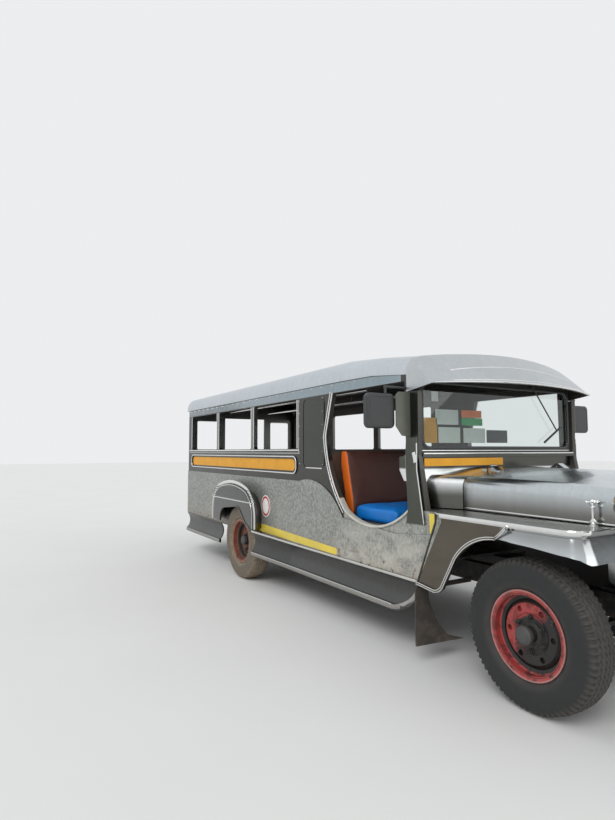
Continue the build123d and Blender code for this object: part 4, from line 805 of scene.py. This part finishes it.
skirtLook = {
    "rail": [(-0.80, 0.8345, 0.490), (-1.6, 0.8345, 0.490), (-2.49, 0.8345, 0.490), (-2.52, 0.8385, 0.4915),
             (-3.045, 0.944, 0.5305)],
    "lipDrop": 0.212, "lipOut": 0.0015, "lipRun": 0.24,
    "rearLip": [(-4.17, 0.278), (-4.7, 0.278), (-5.36, 0.278)], "rearOut": 0.016,
    "corner": arcThrough((-1.04, 0.278), (-0.888, 0.345), (-0.816, 0.474), 24),
    "coveRadius": 0.142, "coveOut": 0.112, "coveLevel": 0.391, "coveFoot": 0.3,
}


def skirtTrims(name, side):
    look = skirtLook
    out = (0, side, 0)
    rail = np.array(look["rail"]) * [1, side, 1] + [frontAxle, 0, 0]
    addPiece("rail_face_" + name, sweep(rail, boxSection(0.017, 0.005), out), "trim")
    lip = rail + [0, side * look["lipOut"], -look["lipDrop"]]
    lip[0, 0] -= look["lipRun"]
    # the lip goes on round the front corner, on the cove: out - sqrt(radius^2 - (z - level)^2) past the wall
    corner = look["corner"]
    height = np.maximum(corner[:, 1], look["coveFoot"]) - look["coveLevel"]
    cove = look["coveOut"] - np.sqrt(look["coveRadius"] ** 2 - height ** 2)
    depth = wallFace + cove + np.interp(corner[:, 1], (0.295, 0.32), (0.013, 0.002))
    cornerLine = np.stack([corner[:, 0] + frontAxle, side * depth, corner[:, 1]], axis=1)
    rearLip = sideBead(look["rearLip"], side, wallFace + look["rearOut"], boxSection(0.034, 0.004))
    addPiece("skirt_lip_" + name, join([sweep(lip, boxSection(0.034, 0.004), out),
                                        sweep(cornerLine, boxSection(0.03, 0.004), out), rearLip]), "lip")
    bead = lip + [0, side * 0.0025, 0.0155]
    addPiece("skirt_bead_" + name, sweep(bead, roundSection(0.007, 0.006), out), "trim")


for name, side in sides:
    sideTrims(name, side)
    skirtTrims(name, side)

# decal and sticker on the right wall, both blank
decal = {"centre": (-2.967, 0.775), "half": (0.098, 0.106), "wall": 0.8268, "depth": 0.0015, "ringShare": 0.8}
angle = np.arange(48) * 2 * pi / 48
oval = np.stack([np.cos(angle) * decal["half"][0], np.sin(angle) * decal["half"][1]], axis=1)
origin = (frontAxle + decal["centre"][0], -decal["wall"], decal["centre"][1])
addPiece("round_decal_blank", plate(oval, origin, (1, 0, 0), (0, 0, 1), decal["depth"]), "whiteBoard")
ring = onSide(oval * decal["ringShare"] + decal["centre"], -1, decal["wall"] + decal["depth"])
addPiece("round_decal_ring", sweep(ring, boxSection(0.02, 0.0016, 0.0005), (0, -1, 0), True), "decalRed")
sticker = roundedPath([(-0.676, 0.925), (-0.610, 0.925), (-0.652, 0.800), (-0.670, 0.800)], 0.006, 4, True)
origin = (frontAxle, -decal["wall"], 0)
addPiece("sticker_blank", plate(sticker, origin, (1, 0, 0), (0, 0, 1), decal["depth"]), "lemonStrip")
print("trims made")

# front fenders: double bead round the wheel arch, the rolled flange and the edge of the foot
archLine = np.vstack([
    [(-0.733, 0.4895)], arcThrough((-0.583, 0.472), (-0.530, 0.490), (-0.495, 0.535), 10)[:-1],
    [(-0.447, 0.616)], arcThrough((-0.400, 0.697), (-0.240, 0.817), (-0.115, 0.841), 22)])
beadEnd = np.array([(-0.083, 0.864), (-0.055, 0.888), (-0.040, 0.905)])
fenderLook = {"beadInsets": (0.004, 0.016), "beadOut": 0.8895, "endOut": (0.004, 0.009, 0.012, 0.010),
              "outer": 0.888, "front": 0.353, "rear": -0.52, "corner": 0.1, "level": 0.929, "inner": 0.597,
              "foot": [(-0.738, 0.49), (-0.5655, 0.888), (-0.5655, 0.936)], "footOut": 0.880}


def fenderTrims(name, side):
    look = fenderLook
    beads = []
    for inset in look["beadInsets"]:
        bead = onSide(np.vstack([offsetPath(archLine, inset), beadEnd + [0, inset]]), side, look["beadOut"])
        bead[-4:, 1] += side * np.array(look["endOut"])
        beads.append(sweep(bead, roundSection(0.009, 0.011), (0, side, 0)))
    plan = roundedPath([(look["rear"], look["outer"]), (look["front"], look["outer"]),
                        (look["front"], look["inner"])], look["corner"], 16)
    plan = np.vstack([np.linspace(plan[0], plan[1], 12), plan[2:-1], np.linspace(plan[-2], plan[-1], 5)[1:]])
    lip = np.stack([plan[:, 0] + frontAxle, side * plan[:, 1], np.full(len(plan), look["level"])], axis=1)
    beads.append(sweep(lip, roundSection(0.012, 0.027), (0, 0, 1)))
    addPiece("fender_beads_" + name, join(beads), "trim")
    foot = sideBead(look["foot"], side, look["footOut"], roundSection(0.012, 0.012))
    addPiece("fender_foot_edge_" + name, foot, "pillar")


# ornament on each fender deck: a rod on a ball, with a faceted top
ornament = {
    "x": 0.262, "y": 0.628, "deck": 0.942, "spikes": 5, "spikeLevel": 0.112, "spikeLean": 0.25,
    "rod": [(0.020, -0.001), (0.021, 0.004), (0.012, 0.008), (0.0165, 0.016), (0.017, 0.024), (0.010, 0.032),
            (0.0065, 0.036), (0.0065, 0.082), (0.012, 0.086), (0.0125, 0.092), (0.008, 0.098), (0.015, 0.106),
            (0.018, 0.115), (0.013, 0.125), (0.002, 0.130)],
    "spike": [(0.001, 0.008), (0.006, 0.018), (0.004, 0.030), (0.0005, 0.036)],
}


def fenderOrnament(name, side):
    base = np.array([frontAxle + ornament["x"], side * ornament["y"], ornament["deck"]])
    shapes = [lathe(ornament["rod"], base, (0, 0, 1), 20)]
    for turn in range(ornament["spikes"]):
        angle = turn * 2 * pi / ornament["spikes"] + 0.3
        tip = (cos(angle), sin(angle), ornament["spikeLean"])
        shapes.append(lathe(ornament["spike"], base + [0, 0, ornament["spikeLevel"]], tip, 6))
    addPiece("fender_ornament_" + name, join(shapes), "trim")


# rear arches: beads on the edge, a moulding and pressed lines
arch = {"front": 0.465, "rear": -0.705, "bottom": 0.55, "eaves": 0.90, "ridge": 1.045, "shoulder": 0.32,
        "crown": 1.325, "ribs": ((0.835, 0.40), (0.862, 0.385), (0.889, 0.36), (0.916, 0.325))}


def archLineAt(inset):
    middle = (arch["front"] + arch["rear"]) / 2
    foot = arch["bottom"] - 0.01
    path = roundedPath([(arch["front"], foot), (arch["front"], arch["eaves"]), (middle, arch["ridge"]),
                        (arch["rear"], arch["eaves"]), (arch["rear"], foot)],
                       [0, arch["shoulder"], arch["crown"], arch["shoulder"], 0], 20)
    path = offsetPath(path, inset)
    path[[0, -1], 1] = arch["bottom"] + 0.002
    return path


def archTrims(name, side):
    beads = [    # path, out, section
        (archLineAt(0.020), 0.9315, roundSection(0.036, 0.014)),
        (archLineAt(0.052), 0.9450, roundSection(0.008, 0.005)),
        ([(-0.66, 0.80), (-0.1, 0.80), (0.418, 0.80)], 0.9455, roundSection(0.012, 0.008)),
    ]
    ribs = [([(-reach - 0.235, level), (0, level), (reach, level)], 0.9448, roundSection(0.007, 0.004))
            for level, reach in arch["ribs"]]
    for label, rows, look in (("arch_beads_", beads, "trim"), ("arch_ribs_", ribs, "skirt")):
        shapes = [sideBead(path, side, out, section, fromX=rearAxle) for path, out, section in rows]
        addPiece(label + name, join(shapes), look)


for make in (fenderTrims, fenderOrnament, archTrims):
    for name, side in sides:
        make(name, side)

# visor: bead on the bowed lip, ridges across the blank name board and a seam on top
visor = {"rear": -0.87, "front": -0.46, "halfRear": 0.826, "halfFront": 0.816, "cornerRear": 1.927,
         "cornerFront": 1.880, "crownRear": 2.002, "crownFront": 1.950, "bow": 2.21, "lean": 1.05,
         "lipHeight": 1.755, "sideHeight": 1.70, "slope": 0.055 / 0.37, "centre": -0.50 - 2.21,
         "boardTop": 1.905, "boardSag": 0.09, "half": 0.8, "ridges": ((0.16, 0.66), (0.86, 0.62))}


def visorTop(x, y):
    # the crowned top is an arc of this radius: (half^2 + rise^2) / (2 rise)
    share = (x - visor["rear"]) / (visor["front"] - visor["rear"])
    half, crown, corner = [visor[key + "Rear"] + (visor[key + "Front"] - visor[key + "Rear"]) * share
                           for key in ("half", "crown", "corner")]
    rise = crown - corner
    radius = (half ** 2 + rise ** 2) / (2 * rise)
    return crown - radius + np.sqrt(radius ** 2 - y ** 2)


def coneFront(y, z):
    reach = visor["bow"] + (visor["lipHeight"] - z) * visor["lean"]
    return visor["centre"] + np.sqrt(reach ** 2 - y ** 2)


def lipPoint(y):
    # where the leaning cone meets the sloping plane under the visor
    z = np.full_like(y, visor["lipHeight"])
    for attempt in range(8):
        x = coneFront(y, z)
        z = visor["sideHeight"] + (x - visor["rear"]) * visor["slope"]
    return x, z


def visorBead(x, y, z, section, outward):
    return sweep(np.stack([x + frontAxle, y, z], axis=1), section, outward)


y = np.linspace(-0.808, 0.808, 61)
x, z = lipPoint(y)
shapes = [visorBead(x + 0.001, y, z + 0.004, roundSection(0.016, 0.012), (0, 0, 1))]
for share, halfWidth in visor["ridges"]:
    y = np.linspace(-halfWidth, halfWidth, 41)
    x, z = lipPoint(y)
    z = z + (visor["boardTop"] - visor["boardSag"] * (y / visor["half"]) ** 2 - z) * share
    shapes.append(visorBead(coneFront(y, z) + 0.001, y, z, roundSection(0.008, 0.006), (1, 0, 1)))
y = np.linspace(-0.72, 0.72, 41)
x = np.full_like(y, visor["rear"] + 0.012)
shapes.append(visorBead(x, y, visorTop(x, y) + 0.0005, roundSection(0.014, 0.006), (0, 0, 1)))
addPiece("visor_beads", join(shapes), "trim")

# windscreen: rubber seal, bright strips, the blank strip on the ledge and the blank boards
screenX = frontAxle - 0.8
seal = onFront(rectangle(-0.762, 0.762, 1.33, 1.765, 0.06, 8), screenX + 0.008)
addPiece("screen_seal", sweep(seal, roundSection(0.022, 0.012), (1, 0, 0), True), "plastic")
stripRows = [    # level, out, half length, section
    (1.312, 0.0085, 0.78, boxSection(0.007, 0.006)),
    (1.2935, 0.034, 0.778, roundSection(0.010, 0.008)),
]
strips = [sweep([(screenX + out, y, level) for y in (-reach, 0, reach)], section, (1, 0, 0))
          for level, out, reach, section in stripRows]
addPiece("screen_strips", join(strips), "trim")
facingPlates = [    # name, left, right, bottom, top, corner radius, face, look
    ("ledge_strip_blank", -0.776, -0.038, 1.2115, 1.2615, 0.004, screenX + 0.0345, "yellowStrip"),
    ("board_white_upper", -0.627, -0.417, 1.487, 1.589, 0.005, screenX - 0.0165, "whiteBoard"),
    ("board_orange_upper", -0.385, -0.190, 1.540, 1.591, 0.005, screenX - 0.0165, "orangeBoard"),
    ("board_green_upper", -0.385, -0.182, 1.485, 1.538, 0.005, screenX - 0.0165, "greenBoard"),
    ("board_white_lower", -0.603, -0.402, 1.363, 1.469, 0.005, screenX - 0.0165, "whiteBoard"),
    ("board_pale_lower", -0.370, -0.156, 1.365, 1.467, 0.005, screenX - 0.0165, "whiteBoard"),
    ("board_black_lower", -0.142, 0.074, 1.366, 1.457, 0.005, screenX - 0.0165, "blackBoard"),
    ("board_yellow_lower", -0.742, -0.615, 1.362, 1.53, 0.005, screenX - 0.0165, "yellowStrip"),
    ("board_small_top", -0.659, -0.600, 1.64, 1.708, 0.005, screenX - 0.0165, "whiteBoard"),
]
for name, left, right, bottom, top, radius, place, look in facingPlates:
    outline = rectangle(left, right, bottom, top, radius, 3)
    addPiece(name, plate(outline, (place, 0, 0), (0, 1, 0), (0, 0, 1), 0.003), look)

# hood beads, lamp rims and bumper hooks
hoodLine = np.array([(-0.575, 0.6225, 0.958), (0.1, 0.6025, 0.954), (0.425, 0.5835, 0.951)])
lampLook = {"x": 0.6, "y": 0.74, "z": 1.066, "steps": 48, "rim": np.array([    # radius, forwards
    (0.0945, -0.022), (0.0985, -0.018), (0.1, -0.008), (0.0985, 0.003), (0.093, 0.007), (0.0855, 0.005),
    (0.0852, 0.001), (0.0895, -0.001), (0.0945, -0.010)])}
hookPath = roundedPath([(0.70, 0.575), (0.745, 0.575), (0.745, 0.62), (0.70, 0.62)], 0.015, 6)


def frontTrims(name, side):
    line = hoodLine * [1, side, 1] + [frontAxle, 0, 0]
    addPiece("hood_bead_" + name, sweep(line, roundSection(0.009, 0.007), (0, side, 0)), "trim", "hood")
    radius, forwards = lampLook["rim"].T[:, None, :]
    turn = np.arange(lampLook["steps"])[:, None] * 2 * pi / lampLook["steps"]
    rings = [frontAxle + lampLook["x"] + forwards + 0 * turn, side * lampLook["y"] + radius * np.cos(turn),
             lampLook["z"] + radius * np.sin(turn)]
    addPiece("lamp_rim_" + name, tube(np.stack(rings, axis=2), True), "trim")
    addPiece("bumper_hook_" + name, sideBead(hookPath, side, 0.38, roundSection(0.014, 0.014)), "chassis")


for name, side in sides:
    frontTrims(name, side)
bumperFace = frontAxle + 0.78
bolts = [(bumperFace, y, z) for y in (-0.40, -0.36, 0.36, 0.40) for z in (0.49, 0.54)]
addPiece("bumper_bolts", studs(bolts, (1, 0, 0), 0.012, 0.006, 6), "chassis")
rearEnd = frontAxle - 5.36
plateRows = [    # name, centre across, bottom, top, face, facing
    ("front_plate_blank", 0, 0.475, 0.555, bumperFace - 0.0005, 1),
    ("rear_plate_blank", -0.52, 0.66, 0.74, rearEnd + 0.0005, -1),
]
for name, middle, bottom, top, face, facing in plateRows:
    outline = rectangle(-0.17, 0.17, bottom, top, 0.008, 4) + [middle, 0]
    addPiece(name, plate(outline, (face, 0, 0), (0, facing, 0), (0, 0, 1), 0.003), "whiteBoard")

# grab rails and window beads on the rear wall, and the mirrors
mirror = {"x": -0.9045, "ribX": -0.8652, "y": 1.04, "z": 1.568, "ribShare": 0.93}
mirrorLine = rectangle(-0.098, 0.098, -0.098, 0.098, 0.026, 6)
gripLine = roundedPath([(rearEnd + 0.002, 0.80), (rearEnd - 0.05, 0.80), (rearEnd - 0.05, 1.60),
                        (rearEnd + 0.002, 1.60)], 0.03, 8)
rearPane = rectangle(0.40, 0.7147, 1.33, 1.73, 0.025, 6)


def rearTrims(name, side):
    rail = sideBead(gripLine, side, 0.345, roundSection(0.026, 0.026, 14), fromX=0)
    addPiece("entry_rail_" + name, rail, "trim")
    pane = onFront(rearPane * [side, 1], rearEnd)
    addPiece("rear_window_bead_" + name, sweep(pane, roundSection(0.014, 0.008), (-1, 0, 0), True), "trim")


def mirrorTrims(name, side):
    origin = (frontAxle + mirror["x"], side * mirror["y"], mirror["z"])
    addPiece("mirror_glass_" + name, plate(mirrorLine, origin, (0, -1, 0), (0, 0, 1), 0.002), "mirror")
    rib = mirrorLine * mirror["ribShare"] + [side * mirror["y"], mirror["z"]]
    rib = onFront(rib, frontAxle + mirror["ribX"])
    addPiece("mirror_rib_" + name, sweep(rib, roundSection(0.006, 0.004), (1, 0, 0), True), "plastic")


for make in (rearTrims, mirrorTrims):
    for name, side in sides:
        make(name, side)

# horn button on the steering wheel
horn = {"lean": radians(37), "hub": (frontAxle - 1.19, 0.42, 1.17),
        "profile": [(0.028, 0.016), (0.028, 0.021), (0.022, 0.026), (0.010, 0.029), (0.002, 0.0295)]}
hornAxis = (-cos(horn["lean"]), 0, sin(horn["lean"]))
addPiece("horn_button", lathe(horn["profile"], horn["hub"], hornAxis, 28), "horn", "steering")
print("fittings made")

# padded seats; the profile lies across the pad, in X (axis 0) or Y (axis 1) and Z
padLook = {
    "front_seat_cushion": {"finish": vinyl("blue", (0.004, 0.2, 0.66), (0.002, 0.11, 0.42)),
                           "slot": "blue_vinyl", "voxel": 0.016, "cap": 0.018, "inset": 0.010, "across": 0,
                           "corners": [0.012, 0.035, 0.035, 0.012], "pitch": 0.0, "fill": 0.75},
    "front_seat_back": {"finish": seatBackVinyl(), "slot": "orange_vinyl",
                        "voxel": 0.016, "cap": 0.016, "inset": 0.010, "across": 0,
                        "corners": [0.02, 0.02, 0.03, 0.05, 0.025, 0.02], "pitch": 0.0, "fill": 0.7},
    "bench_cushions": {"finish": vinyl("red", (0.16, 0.03, 0.025), (0.08, 0.02, 0.018)), "slot": "blue_vinyl",
                       "voxel": 0.019, "cap": 0.014, "inset": 0.008, "across": 1,
                       "corners": [0.010, 0.028, 0.028, 0.010], "pitch": 0.57, "fill": 0.75, "inner": 0.395},
}


def padProfile(node, low, high):
    # the pad's outline, drawn in by the inset; the seat back leans
    look = padLook[node]
    inset, axis = look["inset"], look["across"]
    near, far, top, foot = low[axis] + inset, high[axis] - inset, high[2] - inset, low[2] + 0.004
    line = [(near, foot), (near, top), (far, top), (far, foot)]
    if node == "front_seat_back":
        foot = low[2] + inset
        line = [(near, high[2] - 0.14), (near, top), (low[0] + 0.095, top), (far, 0.90), (far, foot),
                (high[0] - 0.110 + inset, foot)]
    return roundedPath(line, look["corners"], 6, True)


def padShape(node, low, high):
    # the outline carried from one end to the other, smaller at both ends
    look = padLook[node]
    profile = padProfile(node, low, high)
    along = 1 - look["across"]
    start, end = low[along] + look["inset"], high[along] - look["inset"]
    centre = profile.mean(axis=0)
    rings = []
    for place, shrink in ((start, 0.02), (start + 0.006, 0.006), (start + 0.02, 0), (end - 0.02, 0),
                          (end - 0.006, 0.006), (end, 0.02)):
        ring = centre + (profile - centre) * (1 - shrink / 0.15)
        rings.append(np.insert(ring, along, place, axis=1))
    return tube(np.array(rings))


def readPoints(mesh):
    points = np.empty(len(mesh.vertices) * 3)
    mesh.vertices.foreach_get("co", points)
    return points.reshape(-1, 3)


def writePoints(mesh, points):
    mesh.vertices.foreach_set("co", points.ravel())
    mesh.update()


def inflate(piece, look):
    # voxel remesh, then pressure cloth for 20 frames; each point's travel is capped
    scene = bpy.context.scene
    bpy.context.view_layer.objects.active = piece
    remesh = piece.modifiers.new("remesh", "REMESH")
    remesh.mode = "VOXEL"
    remesh.voxel_size = look["voxel"]
    bpy.ops.object.modifier_apply(modifier="remesh")
    before = readPoints(piece.data)
    cloth = piece.modifiers.new("cloth", "CLOTH")
    cloth.settings.use_pressure = True
    cloth.settings.uniform_pressure_force = 4
    cloth.settings.effector_weights.gravity = 0
    cloth.settings.quality = 4
    cloth.point_cache.frame_start, cloth.point_cache.frame_end = 1, 20
    for number in range(1, 21):
        scene.frame_set(number)
    travel = readPoints(piece.evaluated_get(bpy.context.evaluated_depsgraph_get()).data) - before
    piece.modifiers.remove(cloth)
    scene.frame_set(1)
    length = np.linalg.norm(travel, axis=1, keepdims=True)
    writePoints(piece.data, before + travel * np.minimum(1, look["cap"] / np.maximum(length, 1e-9)))


def sewChannels(piece, look, low, high):
    # the cover dips by depth * exp(-(distance / width)^2) along each seam across the pad
    depth = width = 0.014
    axis = 1 - look["across"]
    points = readPoints(piece.data)
    number = max(1, round((high[axis] - low[axis]) / look["pitch"]))
    seams = low[axis] + (high[axis] - low[axis]) * np.arange(1, number) / number
    distance = np.abs(points[:, axis:axis + 1] - seams[None]).min(axis=1)
    lift = np.clip((points[:, 2] - low[2]) / (high[2] - low[2]), 0, 1)
    points[:, 2] -= depth * np.exp(-(distance / width) ** 2) * lift
    writePoints(piece.data, points)


for node, look in padLook.items():
    low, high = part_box(node)
    pads = {"padded_" + node: (low, high)}
    if "inner" in look:    # two benches, one on each side of the aisle
        pads = {"padded_" + node + "_1": ((low[0], look["inner"], low[2]), (high[0], high[1], high[2])),
                "padded_" + node + "_2": ((low[0], -high[1], low[2]), (high[0], -look["inner"], high[2]))}
    for name, (first, last) in pads.items():
        piece = makePiece(name, padShape(node, first, last), look["finish"], look["slot"])
        inflate(piece, look)
        if look["pitch"]:
            sewChannels(piece, look, first, last)
        finer = piece.modifiers.new("finer", "SUBSURF")
        finer.levels = finer.render_levels = 1
        piece.data.shade_smooth()
        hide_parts(node)
        print("padded", name)

# floor, lights and world
stageLook = {"floor": (0.8, 0.8, 0.79), "world": (0.93, 0.945, 0.96), "worldStrength": 0.72, "backdrop": 0.9,
             "key": {"place": (4.5, -6.5, 8), "aim": (0, 0, 0.8), "spread": 0.5, "power": 1.1},
             "fill": {"place": (8, 3.5, 3.5), "aim": (1.5, 0, 0.9), "spread": 0.75, "power": 0.42}}


def makeFloor():
    ground = Finish("floor_plain")
    colour = ground.shade(stageLook["floor"], 0.97 + ground.noise(0.8) * 0.06)
    points = [(-60, -60, 0), (60, -60, 0), (60, 60, 0), (-60, 60, 0)]
    mesh = bpy.data.meshes.new("floor")
    mesh.from_pydata(points, [], [[0, 1, 2, 3]])
    mesh.materials.append(ground.surface(Base_Color=colour, Roughness=0.85 + ground.noise(3) * 0.05))
    floor = bpy.data.objects.new("floor", mesh)
    bpy.context.collection.objects.link(floor)


def makeLight(name, look):
    data = bpy.data.lights.new(name, "SUN")
    data.angle = look["spread"]
    data.energy = look["power"]
    lamp = bpy.data.objects.new(name, data)
    bpy.context.collection.objects.link(lamp)
    aim = Vector(look["aim"]) - Vector(look["place"])
    lamp.matrix_world = Matrix.Translation(look["place"]) @ aim.to_track_quat("-Z", "Y").to_matrix().to_4x4()


def makeWorld():
    # the backdrop is what the camera sees directly, in a mirror or through glass; the rest lights the scene
    world = bpy.data.worlds.new("world")
    bpy.context.scene.world = world
    world.use_nodes = True
    tree = world.node_tree
    background = tree.nodes["Background"]
    background.inputs[0].default_value = (*stageLook["world"], 1)
    rays = tree.nodes.new("ShaderNodeLightPath")
    seen = rays.outputs["Is Camera Ray"]
    for other in ("Is Glossy Ray", "Is Transmission Ray"):
        either = tree.nodes.new("ShaderNodeMath")
        either.operation = "MAXIMUM"
        tree.links.new(seen, either.inputs[0])
        tree.links.new(rays.outputs[other], either.inputs[1])
        seen = either.outputs[0]
    strength = tree.nodes.new("ShaderNodeMapRange")
    strength.inputs["To Min"].default_value = stageLook["worldStrength"]
    strength.inputs["To Max"].default_value = stageLook["backdrop"]
    tree.links.new(seen, strength.inputs["Value"])
    tree.links.new(strength.outputs[0], background.inputs[1])


makeFloor()
for name in ("key", "fill"):
    makeLight(name + "_light", stageLook[name])
makeWorld()
bpy.context.scene.view_settings.view_transform = "Standard"
print("stage made")

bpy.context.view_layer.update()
